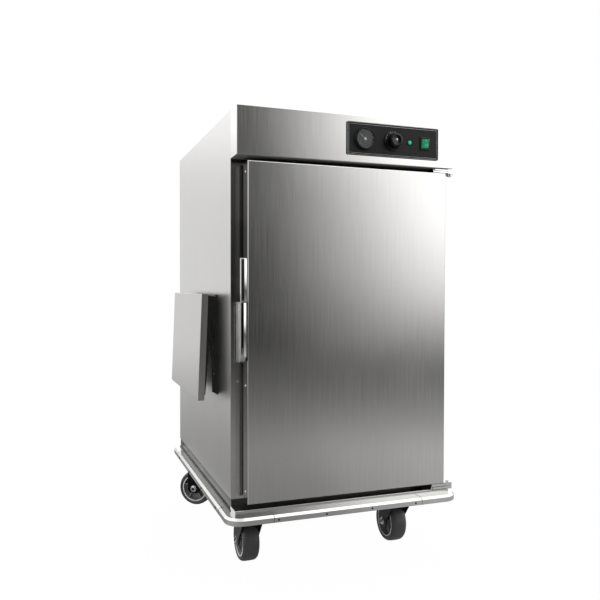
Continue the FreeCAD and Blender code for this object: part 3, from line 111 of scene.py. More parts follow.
def studio_world():
    """White to the camera and through glass, and to all else a room with a dark side and a bright one."""
    world = bpy.data.worlds.new("studio")
    world.use_nodes = True
    tree = world.node_tree
    tree.nodes.clear()
    axes = add(tree, "SeparateXYZ", {"Vector": add(tree, "TexCoord").outputs["Generated"]})
    turn = round_from_front(tree, axes.outputs["X"], axes.outputs["Y"])
    # Brightness round the room, over 2: bright behind, dim at the front left, brightest at 40 degrees.
    room = add(tree, "ValToRGB", {"Fac": turn})
    steps_of(room, [
        (0.0, 0.38), (0.22, 0.42), (0.36, 0.34), (0.45, 0.15), (0.52, 0.020), (0.542, 0.023),
        (0.549, 0.062), (0.5552, 0.160), (0.5645, 0.335), (0.576, 0.60), (0.5875, 1.0), (0.61, 1.0),
        (0.70, 0.65), (0.78, 0.42), (1.0, 0.38),
    ], "LINEAR")
    # It falls towards the horizon and rises overhead, over 2.
    height = add(tree, "MapRange", {"Value": axes.outputs["Z"], "From Min": -0.12, "From Max": 0.35})
    lift = add(tree, "ValToRGB", {"Fac": height.outputs[0]})
    steps_of(lift, [
        (0.0, 0.13), (0.055, 0.15), (0.117, 0.21), (0.245, 0.34), (0.434, 0.5), (0.600, 0.60),
        (0.734, 0.98), (1.0, 0.98),
    ], "LINEAR")
    wall = add(tree, "Math", {0: room.outputs[0], 1: lift.outputs[0]}, operation="MULTIPLY")
    # Both levels were halved, so the product is made four times as bright.
    wall = add(tree, "Math", {0: wall.outputs[0], 1: 4.0}, operation="MULTIPLY")
    behind = add(tree, "ValToRGB", {"Fac": turn})
    steps_of(behind, [(0.0, 1.0), (0.2, 1.0), (0.34, 0.0), (0.72, 0.0), (0.86, 1.0), (1.0, 1.0)])
    behind = add(tree, "Math", {0: behind.outputs[0], 1: 0.96}, operation="MULTIPLY")
    wall = add(tree, "Math", {0: wall.outputs[0], 1: behind.outputs[0]}, operation="MAXIMUM")
    overhead = add(tree, "MapRange", {
        "Value": axes.outputs["Z"], "From Min": 0.35, "From Max": 0.75, "To Min": 0.0, "To Max": 1.2,
    }, interpolation_type="SMOOTHSTEP")
    wall = add(tree, "Math", {0: wall.outputs[0], 1: overhead.outputs[0]}, operation="MAXIMUM")
    # Low down the room is dim on every side, and nowhere is it brighter than 2.
    ceiling = add(tree, "MapRange", {
        "Value": axes.outputs["Z"], "From Min": -0.105, "From Max": 0.06, "To Min": 0.30, "To Max": 2.0,
    }, interpolation_type="SMOOTHSTEP")
    dim_low = add(tree, "Mix", {
        "Factor": behind.outputs[0], 2: ceiling.outputs[0], 3: 2.0,
    }, data_type="FLOAT")
    wall = add(tree, "Math", {0: wall.outputs[0], 1: dim_low.outputs[0]}, operation="MINIMUM")
    path = add(tree, "LightPath")
    seen = add(tree, "Math", {
        0: path.outputs["Is Camera Ray"], 1: path.outputs["Is Transmission Ray"],
    }, operation="MAXIMUM")
    strength = add(tree, "Mix", {
        "Factor": seen.outputs[0], 2: wall.outputs[0], 3: 1.0,
    }, data_type="FLOAT")
    background = add(tree, "Background", {
        "Color": linear("FFFFFF"), "Strength": strength.outputs[0],
    })
    add(tree, "OutputWorld", {"Surface": background.outputs[0]})
    bpy.context.scene.world = world


def deselect():
    """Leave edit mode, with nothing selected."""
    if bpy.context.object and bpy.context.object.mode == "EDIT":
        bpy.ops.object.mode_set(mode="OBJECT")
    bpy.ops.object.select_all(action="DESELECT")


def new_material(name):
    """An empty material, its node tree, and the piece's own coordinates to lay a pattern by."""
    material = bpy.data.materials.new(name)
    material.use_nodes = True
    material.node_tree.nodes.clear()
    return material, material.node_tree, add(material.node_tree, "TexCoord").outputs["Object"]


def studio_floor():
    """White to the camera and matt under the cabinet, with a painted glow of its own for what mirrors it."""
    deselect()
    bpy.ops.mesh.primitive_circle_add(
        vertices=96, radius=7.0, fill_type="NGON", location=(0, 0, -0.0005),
    )
    floor = bpy.context.object
    floor.name = "studio_floor"
    material, tree, place = new_material("white_studio_floor")
    axes = add(tree, "SeparateXYZ", {"Vector": place})
    away = add(tree, "VectorMath", {0: place}, operation="LENGTH").outputs["Value"]
    away = add(tree, "MapRange", {"Value": away, "From Min": 0.4, "From Max": 7.4})
    # Painted light and shadow: the glow is brightest about 1.9 m out, fades beyond, and is darker closer in
    # as the cabinet's painted shadow.
    glow_with_painted_shadow = add(tree, "ValToRGB", {"Fac": away.outputs[0]})
    steps_of(glow_with_painted_shadow, [
        (0.0, 0.70), (0.09, 0.85), (0.21, 1.0), (0.36, 0.60), (0.49, 0.37), (0.67, 0.27), (1.0, 0.22),
    ])
    # Round the cabinet the glow is dimmest at the front left, painted shade from the room's dark side.
    turn = round_from_front(tree, axes.outputs["X"], axes.outputs["Y"])
    side = add(tree, "ValToRGB", {"Fac": turn})
    steps_of(side, [
        (0.0, 0.62), (0.3, 0.60), (0.45, 0.40), (0.50, 0.36), (0.53, 0.40), (0.553, 0.52), (0.59, 0.64),
        (0.75, 0.62), (1.0, 0.62),
    ])
    front = add(tree, "Math", {0: glow_with_painted_shadow.outputs[0], 1: side.outputs[0]}, operation="MULTIPLY")
    # Behind the cabinet the floor runs into the white sweep, so there it brightens with distance, from a
    # painted shadow close to the cabinet.
    rear = add(tree, "MapRange", {
        "Value": away.outputs[0], "From Max": 1.0, "To Min": 0.3, "To Max": 0.97,
    })
    behind = add(tree, "ValToRGB", {"Fac": turn})
    steps_of(behind, [(0.0, 1.0), (0.2, 1.0), (0.32, 0.0), (0.72, 0.0), (0.86, 1.0), (1.0, 1.0)])
    glow = add(tree, "Mix", {
        "Factor": behind.outputs[0], 2: front.outputs[0], 3: rear.outputs[0],
    }, data_type="FLOAT")
    path = add(tree, "LightPath")
    lit = add(tree, "BsdfDiffuse", {"Color": linear("D9D9D9")})
    white = add(tree, "Emission", {"Color": linear("FFFFFF"), "Strength": 1.0})
    mirrored = add(tree, "Emission", {"Color": linear("FFFFFF"), "Strength": glow.outputs[0]})
    seen = add(tree, "Math", {0: path.outputs["Is Camera Ray"], 1: path.outputs["Is Transmission Ray"]},
               operation="MAXIMUM")
    seen = add(tree, "Math", {0: seen.outputs[0], 1: 0.985}, operation="MULTIPLY")
    first = add(tree, "MixShader", {
        0: path.outputs["Is Glossy Ray"], 1: lit.outputs[0], 2: mirrored.outputs[0],
    })
    second = add(tree, "MixShader", {0: seen.outputs[0], 1: first.outputs[0], 2: white.outputs[0]})
    add(tree, "OutputMaterial", {"Surface": second.outputs[0]})
    floor.data.materials.append(material)


def studio_light(name, place, target, size, watts):
    """A soft lamp that lights matt surfaces and doesn't show in the steel."""
    lamp = bpy.data.lights.new(name, "AREA")
    lamp.shape = "RECTANGLE"
    lamp.size, lamp.size_y = size
    lamp.energy = watts
    holder = bpy.data.objects.new(name, lamp)
    bpy.context.collection.objects.link(holder)
    holder.location = place
    holder.rotation_euler = (Vector(target) - Vector(place)).to_track_quat("-Z", "Y").to_euler()
    holder.visible_glossy = False


studio_world()
studio_floor()
studio_light("soft_right", (2.6, -2.4, 2.3), (0.0, 0.0, 0.9), (1.2, 1.6), 28.0)
studio_light("soft_left", (-2.8, 0.6, 2.2), (0.0, 0.0, 0.7), (1.4, 1.4), 10.0)


# Stainless sheet, grade 304, brushed with a belt before it was folded: fine parallel scratches
# that stretch every reflection across them. Panels and door are brushed upright.


def give(material, *names):
    """Let CAD nodes wear a material."""
    for name in names:
        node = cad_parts[name]
        node.data.materials.clear()
        node.data.materials.append(material)


def surfaced(material, inputs):
    """Finish a material with its surface, whose inputs are values or the sockets that feed them."""
    surface = add(material.node_tree, "BsdfPrincipled", inputs)
    add(material.node_tree, "OutputMaterial", {"Surface": surface.outputs[0]})
    return material


def brushed_stainless(name, along, dark, pale, roughness, painted_shade_amount=0.0):
    """Scratches 2 mm apart, coarser than real ones so that they show, cloudy wear and painted shade higher
    up.
    """
    material, tree, place = new_material(name)
    across, lengthways = 480.0, 5.0
    stretch = {"X": (lengthways, across, across), "Z": (across, across, lengthways)}[along]
    lines = add(tree, "Mapping", {"Vector": place, "Scale": stretch})
    scratches = add(tree, "TexNoise", {"Vector": lines.outputs[0], "Scale": 1.0, "Detail": 3.0,
                                       "Roughness": 0.65})
    clouds = add(tree, "TexNoise", {"Vector": place, "Scale": 5.0, "Detail": 4.0, "Roughness": 0.5})
    shade = add(tree, "Mix", {"Factor": 0.3, 2: scratches.outputs[0], 3: clouds.outputs[0]},
                data_type="FLOAT")
    colour = add(tree, "ValToRGB", {"Fac": shade.outputs[0]})
    colour.color_ramp.elements[0].position = 0.3
    colour.color_ramp.elements[0].color = linear(dark)
    colour.color_ramp.elements[1].position = 0.7
    colour.color_ramp.elements[1].color = linear(pale)
    gloss = add(tree, "MapRange", {"Value": shade.outputs[0], "From Min": 0.25, "From Max": 0.75,
                                   "To Min": roughness - 0.04, "To Max": roughness + 0.05})
    relief = add(tree, "Bump", {"Height": scratches.outputs[0], "Strength": 0.09, "Distance": 0.00006})
    # Painted shade: from 0.5 m up the colour is pulled towards dark grey, by the given amount from 0.8 m to
    # 1 m up.
    height = add(tree, "SeparateXYZ", {"Vector": place}).outputs["Z"]
    layer = add(tree, "ValToRGB", {"Fac": height})
    steps_of(layer, [(0.48, 0.0), (0.78, painted_shade_amount), (0.97, painted_shade_amount), (1.0, painted_shade_amount * 0.75)])
    shaded_colour = add(tree, "Mix", {"Factor": layer.outputs[0], 6: colour.outputs[0], 7: linear("2E2E2D")},
                  data_type="RGBA")
    return surfaced(material, {
        "Base Color": shaded_colour.outputs[2], "Roughness": gloss.outputs[0], "Normal": relief.outputs[0],
        "Metallic": 1.0,
    })


upright_brushed = brushed_stainless("upright_brushed_stainless", "Z", "C3C2C0", "CFCECC", 0.15)
level_brushed = brushed_stainless("level_brushed_stainless", "X", "C3C2C0", "CFCECC", 0.15)
give(upright_brushed, "door_skin", "door_inner_panel", "header_box")
give(brushed_stainless("satin_side_stainless", "Z", "C3C2C0", "CFCECC", 0.3), "side_panel_left",
     "side_panel_right", "back_panel")
give(brushed_stainless("satin_shelf_stainless", "Z", "BAB9B7", "C6C5C3", 0.3), "shelf_board")
# The door frame wears painted shade, darker towards its top, for the shade of its recess under the header.
give(brushed_stainless("painted_shade_frame_stainless", "Z", "BAB9B7", "C6C5C3", 0.18, 0.6), "door_frame")
give(level_brushed, "top_panel", "front_ledge")

# Plates inside the cabinet: mill-finish stainless, dull and even, rolled rather than brushed, which
# gives soft milky reflections. Runners and slotted posts are the same sheet, folded, and the shelf's
# arms, struts and brackets are too, darkened with painted shade so that they, and their reflection in
# the side panel, read as the shade behind the shelf.


def rolled_stainless(name, dark, pale, roughness):
    """Roll marks 1.2 mm apart across the sheet, under broad cloudy patches."""
    material, tree, place = new_material(name)
    rolled = add(tree, "Mapping", {"Vector": place, "Scale": (1.0, 12.0, 1.0)})
    marks = add(tree, "TexNoise", {"Vector": rolled.outputs[0], "Scale": 70.0, "Detail": 4.0})
    clouds = add(tree, "TexNoise", {"Vector": place, "Scale": 9.0, "Detail": 3.0})
    shade = add(tree, "Mix", {"Factor": 0.5, 2: marks.outputs[0], 3: clouds.outputs[0]}, data_type="FLOAT")
    colour = add(tree, "Mix", {"Factor": shade.outputs[0], 6: linear(dark), 7: linear(pale)},
                 data_type="RGBA")
    gloss = add(tree, "MapRange", {"Value": shade.outputs[0], "From Min": 0.3, "From Max": 0.7,
                                   "To Min": roughness - 0.06, "To Max": roughness + 0.07})
    relief = add(tree, "Bump", {"Height": marks.outputs[0], "Strength": 0.3, "Distance": 0.0001})
    return surfaced(material, {
        "Base Color": colour.outputs[2], "Roughness": gloss.outputs[0], "Normal": relief.outputs[0],
        "Metallic": 1.0,
    })


rolled = rolled_stainless("rolled_stainless_sheet", "A9A8A5", "C6C5C2", 0.34)
give(rolled, "chamber_liner", "rack_posts", "pan_runners", "air_duct_cover")
# Painted shade: the shelf's arms, struts and brackets are dark grey.
give(rolled_stainless("painted_shade_fitting_stainless", "3A3A3A", "4C4C4B", 0.34),
     "shelf_brackets", "shelf_arms", "shelf_struts")

# Insulation: slabs of resin-bonded mineral wool, pressed between the chamber and the outer panels and
# filling the door. They are ochre, and felted in layers.


def mineral_wool(name):
    """Fibres in felted layers 3 mm deep, with darker binder between them."""
    material, tree, place = new_material(name)
    layers = add(tree, "Mapping", {"Vector": place, "Scale": (90.0, 90.0, 330.0)})
    fibres = add(tree, "TexNoise", {"Vector": layers.outputs[0], "Scale": 1.0, "Detail": 8.0,
                                    "Roughness": 0.75})
    colour = add(tree, "Mix", {"Factor": fibres.outputs[0], 6: linear("7F7038"), 7: linear("D8CB8C")},
                 data_type="RGBA")
    relief = add(tree, "Bump", {"Height": fibres.outputs[0], "Strength": 0.9, "Distance": 0.0015})
    return surfaced(material, {
        "Base Color": colour.outputs[2], "Roughness": 0.95, "Normal": relief.outputs[0],
    })


give(mineral_wool("bonded_mineral_wool"), "insulation_slabs", "door_insulation")

# Bright hardware: hinges and latch are die castings, chrome plated. Hinges and lever are polished, so
# they mirror the room sharply, with a slight ripple left by the polishing wheel, and the latch's
# casting and keeper are left satin.


def plated_metal(name, dark, pale, smooth, rough, grain, depth):
    """A metal skin: a cloudy colour, and a surface whose grain has the given size in millimetres."""
    material, tree, place = new_material(name)
    clouds = add(tree, "TexNoise", {"Vector": place, "Scale": 28.0, "Detail": 4.0, "Roughness": 0.6})
    grains = add(tree, "TexNoise", {"Vector": place, "Scale": 1000.0 / grain, "Detail": 2.0})
    colour = add(tree, "Mix", {"Factor": clouds.outputs[0], 6: linear(dark), 7: linear(pale)},
                 data_type="RGBA")
    gloss = add(tree, "MapRange", {"Value": clouds.outputs[0], "From Min": 0.3, "From Max": 0.7,
                                   "To Min": smooth, "To Max": rough})
    relief = add(tree, "Bump", {"Height": grains.outputs[0], "Strength": 0.4, "Distance": depth})
    return surfaced(material, {
        "Base Color": colour.outputs[2], "Roughness": gloss.outputs[0], "Normal": relief.outputs[0],
        "Metallic": 1.0,
    })


chrome = plated_metal("polished_chrome_plate", "C9C9C8", "DADAD9", 0.05, 0.11, 3.0, 0.00003)
give(chrome, "hinge_straps", "hinge_brackets", "hinge_pins", "latch_handle")
give(plated_metal("satin_chrome_casting", "C2C2C1", "CACAC9", 0.20, 0.24, 2.0, 0.00001), "latch_body",
     "latch_keeper")

# Moulded black parts: the control plate, knob, switch and gauge case are ABS or phenolic, black
# with a fine spark-eroded grain that breaks up their soft shine.


def moulded(name, dark, pale, smooth, rough, grain, depth, shine=0.5):
    """A moulded plastic or rubber skin: faint clouding, and a grain of the given size in millimetres."""
    material, tree, place = new_material(name)
    clouds = add(tree, "TexNoise", {"Vector": place, "Scale": 35.0, "Detail": 4.0, "Roughness": 0.6})
    grains = add(tree, "TexVoronoi", {"Vector": place, "Scale": 1000.0 / grain})
    colour = add(tree, "Mix", {"Factor": clouds.outputs[0], 6: linear(dark), 7: linear(pale)},
                 data_type="RGBA")
    gloss = add(tree, "MapRange", {"Value": clouds.outputs[0], "From Min": 0.3, "From Max": 0.7,
                                   "To Min": smooth, "To Max": rough})
    relief = add(tree, "Bump", {"Height": grains.outputs[0], "Strength": 0.35, "Distance": depth})
    return surfaced(material, {
        "Base Color": colour.outputs[2], "Roughness": gloss.outputs[0], "Normal": relief.outputs[0],
        "Specular IOR Level": shine,
    })


black_abs = moulded("grained_black_abs", "0C0C0C", "141414", 0.36, 0.46, 0.9, 0.00004, 0.22)
black_gloss = moulded("moulded_black_polycarbonate", "060606", "0C0C0C", 0.14, 0.22, 1.4, 0.00002, 0.3)
give(black_abs, "control_plate", "thermometer_case")
give(black_gloss, "switch_housing")
give(moulded("grey_enamelled_needle", "8C8C8A", "A0A09E", 0.35, 0.45, 0.8, 0.00001), "thermometer_needle")

# Machinery behind the panels: a zinc plated thermostat and motor, a spun aluminium fan wheel and a
# heater whose alloy sheath has gone brown and blotchy with heat.

give(plated_metal("bright_zinc_plate", "8E9092", "B3B5B7", 0.28, 0.42, 1.2, 0.00008),
     "thermostat_body", "fan_motor")
give(plated_metal("spun_aluminium", "A5A7A9", "C4C6C8", 0.30, 0.45, 0.8, 0.00006), "fan_impeller")
give(plated_metal("heat_browned_sheath", "4A3B30", "7D7169", 0.45, 0.65, 0.7, 0.0001), "heating_element")

# Base: the skirt is a duller stainless, made darker with painted shade for its recess under the cabinet,
# the tube frame under it is blasted, and the bumper is polished aluminium, extruded along its sides and
# cast at its corners.

# Painted shade: the skirt's stainless is dark grey, for the shade it lies in under the cabinet.
give(rolled_stainless("painted_shade_skirt_stainless", "424241", "52524F", 0.30), "base_skirt")
give(rolled_stainless("blasted_frame_stainless", "8C8C8A", "A8A8A6", 0.48), "chassis_frame")
give(plated_metal("extruded_bumper_aluminium", "C8C8C6", "D8D8D6", 0.15, 0.21, 0.8, 0.00001),
     "bumper_rails")
give(plated_metal("cast_bumper_aluminium", "C6C6C4", "D8D8D6", 0.15, 0.22, 1.1, 0.00002),
     "bumper_corners")

# Door edge screws: four stainless pan-head screws down each long edge of the door, driven in from its
# side, hold the folded edge of the outer pan to the inner one.

body_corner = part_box("side_panel_left")[0]


def at(x, y, z):
    """A place, in millimetres from the body's left side, from its front face and from the floor."""
    return Vector((body_corner.x + x / 1000, body_corner.y + y / 1000, z / 1000))


def measured(node):
    """A CAD node's lowest and highest corners in the same millimetres, to a hundredth."""
    return [
        tuple(round(reach * 1000, 2) for reach in (*(corner - body_corner).xy, corner.z))
        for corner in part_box(node)
    ]


def trace(name, points):
    """Draw a line of edges point by point, left in edit mode with all of it selected."""
    deselect()
    bpy.ops.mesh.primitive_plane_add(size=0.0001, location=points[0])
    piece = bpy.context.object
    piece.name = name
    bpy.ops.object.transform_apply()
    bpy.ops.object.mode_set(mode="EDIT")
    bpy.ops.mesh.select_mode(type="VERT")
    bpy.ops.mesh.select_all(action="SELECT")
    bpy.ops.mesh.merge(type="CENTER")
    for start, end in zip(points, points[1:]):
        bpy.ops.mesh.extrude_region_move(TRANSFORM_OT_translate={"value": end - start})
    bpy.ops.mesh.select_all(action="SELECT")
    return piece


def turned(name, centre, axis, profile, steps=32):
    """Trace half a section, as radius and height along the axis in millimetres, and spin it."""
    axis = Vector(axis)
    out = Vector((0, 0, 1)) if abs(axis.z) < 0.5 else Vector((1, 0, 0))
    points = [centre + out * radius / 1000 + axis * height / 1000 for radius, height in profile]
    piece = trace(name, points)
    bpy.ops.mesh.spin(steps=steps, angle=2 * math.pi, center=centre, axis=axis)
    bpy.ops.mesh.select_all(action="SELECT")
    bpy.ops.mesh.remove_doubles(threshold=0.000005)
    bpy.ops.mesh.normals_make_consistent(inside=False)
    return piece


def joined(pieces):
    """Make one piece of several, under the first one's name."""
    deselect()
    for piece in pieces:
        piece.select_set(True)
    bpy.context.view_layer.objects.active = pieces[0]
    bpy.ops.object.join()
    return pieces[0]


def with_copies(piece, moves):
    """Copy a piece by each of the moves, every copy with its own mesh, and join them to it."""
    deselect()
    twins = []
    for move in moves:
        twin = piece.copy()
        twin.data = piece.data.copy()
        twin.data.transform(move)
        bpy.context.collection.objects.link(twin)
        twins.append(twin)
    return joined([piece] + twins)


def fit(piece, body, material, angle=32):
    """Smooth a finished piece, give it its material, and hang it on its body."""
    deselect()
    piece.select_set(True)
    bpy.context.view_layer.objects.active = piece
    bpy.ops.object.shade_smooth_by_angle(angle=math.radians(angle))
    piece.data.materials.clear()
    piece.data.materials.append(material)
    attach(piece, body)
    return piece


SCREW_HEAD = [(0, 1.0), (1.0, 1.0), (1.3, 1.75), (2.4, 1.7), (3.6, 1.0), (4.0, 0.2), (4.0, 0), (0, 0)]


def screws(name, spots, axis, body, scale=1.0, material=chrome):
    """Pan-head screws with a round recess, one turned and the others copied from it."""
    first = at(*spots[0])
    profile = [(radius * scale, height * scale) for radius, height in SCREW_HEAD]
    piece = turned(name, first, axis, profile, steps=20)
    piece = with_copies(piece, [Matrix.Translation(at(*spot) - first) for spot in spots[1:]])
    return fit(piece, body, material)


(door_left, door_front, door_foot), (door_right, _, _) = measured("door_skin")
edge_screw_depth, first_edge_screw, edge_screw_pitch = 25.0, 28.0, 284.3
for side, x, outwards in (("left", door_left, (-1, 0, 0)), ("right", door_right, (1, 0, 0))):
    edge_spots = [
        (x, door_front + edge_screw_depth, door_foot + first_edge_screw + edge_screw_pitch * i)
        for i in range(4)
    ]
    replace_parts(screws("door_screws_" + side, edge_spots, outwards, "door"), "door_edge_screws")

# Back panel: a flat sheet screwed round its edge to the shell, with pressed louvre hoods over its six
# slots, which let out the machinery's heat.


def sawn(name, outline, through):
    """Draw a closed outline, fill it and pull it through by a length."""
    piece = trace(name, outline)
    bpy.ops.mesh.edge_face_add()
    bpy.ops.mesh.extrude_region_move(TRANSFORM_OT_translate={"value": Vector(through) / 1000})
    bpy.ops.mesh.select_all(action="SELECT")
    bpy.ops.mesh.normals_make_consistent(inside=False)
    return piece


def shift(x, y, z):
    """The move by a length, in millimetres."""
    return Matrix.Translation(Vector((x, y, z)) / 1000)


(back_left, _, _), (back_right, back_face, _) = measured("back_panel")
back_screw_inset, lowest_back_screw = 12.8, 250.0
back_screw_rows = (260.0, 520.0, 780.0, 1040.0, 1265.0)
back_spots = [
    (x, back_face, z)
    for x in (back_left + back_screw_inset, back_right - back_screw_inset) for z in back_screw_rows
]
middle_rows = (back_screw_rows[-1], lowest_back_screw)
back_spots += [((back_left + back_right) / 2, back_face, z) for z in middle_rows]
screws("back_panel_screws", back_spots, (0, 1, 0), "cabinet")

louvre_left, louvre_width, louvre_foot, louvre_pitch = 396.0, 148.0, 1179.5, 14.0
hood = sawn("louvre_hoods", [
    at(louvre_left, back_face + out, louvre_foot + up)
    for out, up in ((0.1, 7.5), (5.5, 0.0), (6.2, 0.6), (1.0, 9.0))
], (louvre_width, 0, 0))
hood = with_copies(hood, [shift(0, 0, louvre_pitch * i) for i in range(1, 6)])
fit(hood, "cabinet", upright_brushed)

# Cord gland: a black nylon compression gland, a hexagon against the panel under a ribbed dome nut
# that squeezes a seal in its open bore.


def choose(piece, test):
    """In edit mode, select the faces whose middle and direction pass a test."""
    bpy.context.view_layer.objects.active = piece
    if piece.mode != "EDIT":
        bpy.ops.object.mode_set(mode="EDIT")
    bpy.ops.mesh.select_mode(type="FACE")
    bpy.ops.mesh.select_all(action="DESELECT")
    mesh = bmesh.from_edit_mesh(piece.data)
    for face in mesh.faces:
        face.select_set(bool(test(face.calc_center_median(), face.normal)))
    bmesh.update_edit_mesh(piece.data)


def soften(piece, radius, segments=2):
    """Bevel every edge that is sharp."""
    bpy.context.view_layer.objects.active = piece
    if piece.mode != "EDIT":
        bpy.ops.object.mode_set(mode="EDIT")
    bpy.ops.mesh.select_mode(type="EDGE")
    bpy.ops.mesh.select_all(action="DESELECT")
    bpy.ops.mesh.edges_select_sharp(sharpness=math.radians(30))
    bpy.ops.mesh.bevel(offset=radius / 1000, segments=segments)


def from_axis(place, centre):
    """How far a place is from a front-to-back axis in millimetres, and its angle round it in degrees."""
    across = place - centre
    return math.hypot(across.x, across.z) * 1000, math.degrees(math.atan2(across.z, across.x))


def hexagon(centre, radius, depth, rotation, rounding):
    """A hexagonal nut, its radius measured to its corners."""
    deselect()
    bpy.ops.mesh.primitive_cylinder_add(
        vertices=6, radius=radius / 1000, depth=depth / 1000, location=centre,
        rotation=[math.radians(angle) for angle in rotation],
    )
    nut = bpy.context.object
    bpy.ops.object.transform_apply()
    soften(nut, rounding)
    return nut


gland_face = at(120, back_face + 0.2, 1210)
rib_start, rib_radius, rib_angle = 7.5, 10.5, 10
gland = turned("cord_gland", gland_face, (0, 1, 0), [
    (5.0, -16.0), (9.8, -16.0), (9.8, -7.5), (13.0, -7.5), (13.0, -1.6), (10.0, -1.6), (10.0, 0.0),
    (12.0, 0.0), (12.0, 6.4), (11.0, 7.2), (11.0, 13.5), (9.0, 17.4), (6.4, 18.6), (5.0, 18.6),
    (5.0, -16.0),
], steps=36)


def between_ribs(middle, way):
    radius, angle = from_axis(middle, gland_face)
    on_dome = (middle.y - gland_face.y) * 1000 > rib_start and radius > rib_radius and abs(way.y) < 0.3
    return on_dome and int(angle // rib_angle) % 2


choose(gland, between_ribs)
bpy.ops.mesh.inset(thickness=0.0002, depth=-0.0007, use_individual=True)
gland = joined([gland, hexagon(gland_face + Vector((0, 0.0033, 0)), 13.8, 6.2, (90, 0, 0), 0.5)])
fit(gland, "cabinet", moulded("black_nylon", "19191A", "2A2A2B", 0.42, 0.55, 0.7, 0.00004))
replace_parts(gland, "cable_gland")

# Control plate: a thin satin aluminium line runs along its rim, and another inside it round the
# plate's recessed field: pale lines that stand as painted highlights on the rim's rounded edges.


def block(name, low, high):
    """A cube added at its size and place."""
    deselect()
    low, high = at(*low), at(*high)
    bpy.ops.mesh.primitive_cube_add(size=1.0, location=(low + high) / 2, scale=high - low)
    bpy.ops.object.transform_apply()
    piece = bpy.context.object
    piece.name = name
    return piece


def framed(name, low, high, width, axis):
    """A block with one square hole along an axis, which leaves a frame of the given width."""
    piece = block(name, low, high)
    choose(piece, lambda middle, way: abs(way[axis]) > 0.9)
    bpy.ops.mesh.inset(thickness=width / 1000, use_individual=True)
    bpy.ops.mesh.bridge_edge_loops()
    return piece


# Pale aluminium, for painted highlights on the control plate and the knob's cap.
highlight_aluminium = plated_metal("satin_aluminium_highlight", "9A9B9C", "B4B5B6", 0.25, 0.35, 0.6, 0.00003)
(plate_left, plate_front, plate_foot), (plate_right, _, plate_head) = measured("control_plate")
for name, inset, front, back, width, rounding in (
    ("plate_rim_highlight", 0.9, -0.35, 0.8, 1.1, 0.25), ("plate_field_highlight", 5.4, 1.65, 2.2, 0.9, 0.15),
):
    line = framed(
        name, (plate_left + inset, plate_front + front, plate_foot + inset),
        (plate_right - inset, plate_front + back, plate_head - inset), width, 1,
    )
    soften(line, rounding)
    fit(line, "cabinet", highlight_aluminium)

# Thermometer: a dark dial printed with grey divisions and figures under the glass, a rolled black
# bezel round it, and a white cap over the needle's pivot.


def middle_x(node):
    """The middle of a CAD node from side to side."""
    low, high = measured(node)
    return (low[0] + high[0]) / 2


control_height = 1220.0
plate_field = plate_front + 2.0
gauge_x = middle_x("thermometer_case")
dial_centre = at(gauge_x, plate_field - 2.5, control_height)
dial = turned("gauge_dial", dial_centre, (0, -1, 0), [
    (0, 0.5), (25.3, 0.5), (25.6, 0.3), (25.6, 0.0), (0, 0.0),
], steps=64)
fit(dial, "cabinet", moulded("printed_dial_grey", "1E1F20", "272829", 0.40, 0.50, 1.5, 0.00001))
bezel = turned("gauge_bezel", at(gauge_x, plate_field, control_height), (0, -1, 0), [
    (26.2, 7.0), (26.2, 9.4), (27.0, 9.95), (28.6, 9.95), (29.6, 9.2), (29.9, 7.6), (29.9, 0.8),
    (31.4, 0.3), (31.4, 0.1), (26.2, 7.0),
], steps=72)
fit(bezel, "cabinet", black_gloss)


def divisions(name, centre, inner_radius, sweep, count, long_every, width, length, level):
    """Printed ticks round a centre, spread evenly over a sweep that is open at the bottom."""
    blank = block(name, (0, 0, 0), (1, 1, 1))
    ink_depth = 0.12
    ticks = []
    for i in range(count):
        angle = math.radians(-sweep / 2 + sweep * i / (count - 1))
        wider, longer = (1.3, 1.6) if i % long_every == 0 else (1.0, 1.0)
        radius = inner_radius + length * 0.8 - length * (longer - 1.0) / 2
        tick = blank.copy()
        tick.data = blank.data.copy()
        bpy.context.collection.objects.link(tick)
        tick.data.transform(
            Matrix.Translation(centre + Vector((0, -level / 1000, 0)))
            @ Matrix.Rotation(angle, 4, "Y")
            @ shift(0, 0, radius)
            @ Matrix.Diagonal((width * wider, ink_depth, length * longer, 1.0))
            @ Matrix.Translation(-at(0.5, 0.5, 0.5))
        )
        ticks.append(tick)
    bpy.data.objects.remove(blank)
    piece = joined(ticks)
    piece.name = name
    soften(piece, 0.02, 1)
    return piece


def figures(name, words, centre, radius, sweep, height, level):
    """Printed figures set upright round a centre, at even steps of a sweep."""
    pieces = []
    for i, word in enumerate(words):
        angle = math.radians(-sweep / 2 + sweep * i / (len(words) - 1))
        deselect()
        bpy.ops.object.text_add()
        text = bpy.context.object.data
        text.body = word
        text.size = height / 1000
        text.align_x = "CENTER"
        text.align_y = "CENTER"
        text.extrude = 0.00005
        bpy.ops.object.convert(target="MESH")
        piece = bpy.context.object
        spot = centre + Vector((math.sin(angle) * radius, -level, math.cos(angle) * radius)) / 1000
        piece.data.transform(Matrix.Translation(spot) @ Matrix.Rotation(math.radians(90), 4, "X"))
        pieces.append(piece)
    piece = joined(pieces)
    piece.name = name
    return piece


grey_ink = moulded("grey_printing_ink", "424241", "4E4E4D", 0.45, 0.55, 0.5, 0.00001)
white_ink = moulded("white_printing_ink", "D9D9D6", "E8E8E5", 0.45, 0.55, 0.5, 0.00001)
dial_sweep = 270.0
marks = divisions("gauge_divisions", dial_centre, 21.2, dial_sweep, 25, 4, 0.3, 1.8, 0.6)
fit(marks, "cabinet", grey_ink)
degrees = [str(20 * i) for i in range(7)]
numbers = figures("gauge_figures", degrees, dial_centre, 17.2, dial_sweep, 3.4, 0.62)
fit(numbers, "cabinet", grey_ink)
cap = turned("needle_cap", at(gauge_x, plate_field - 5.55, control_height), (0, -1, 0), [
    (0, 0.75), (2.0, 0.6), (3.3, 0.0), (3.4, -0.4), (0, -0.4),
], steps=24)
fit(cap, "gauge_needle", white_ink)

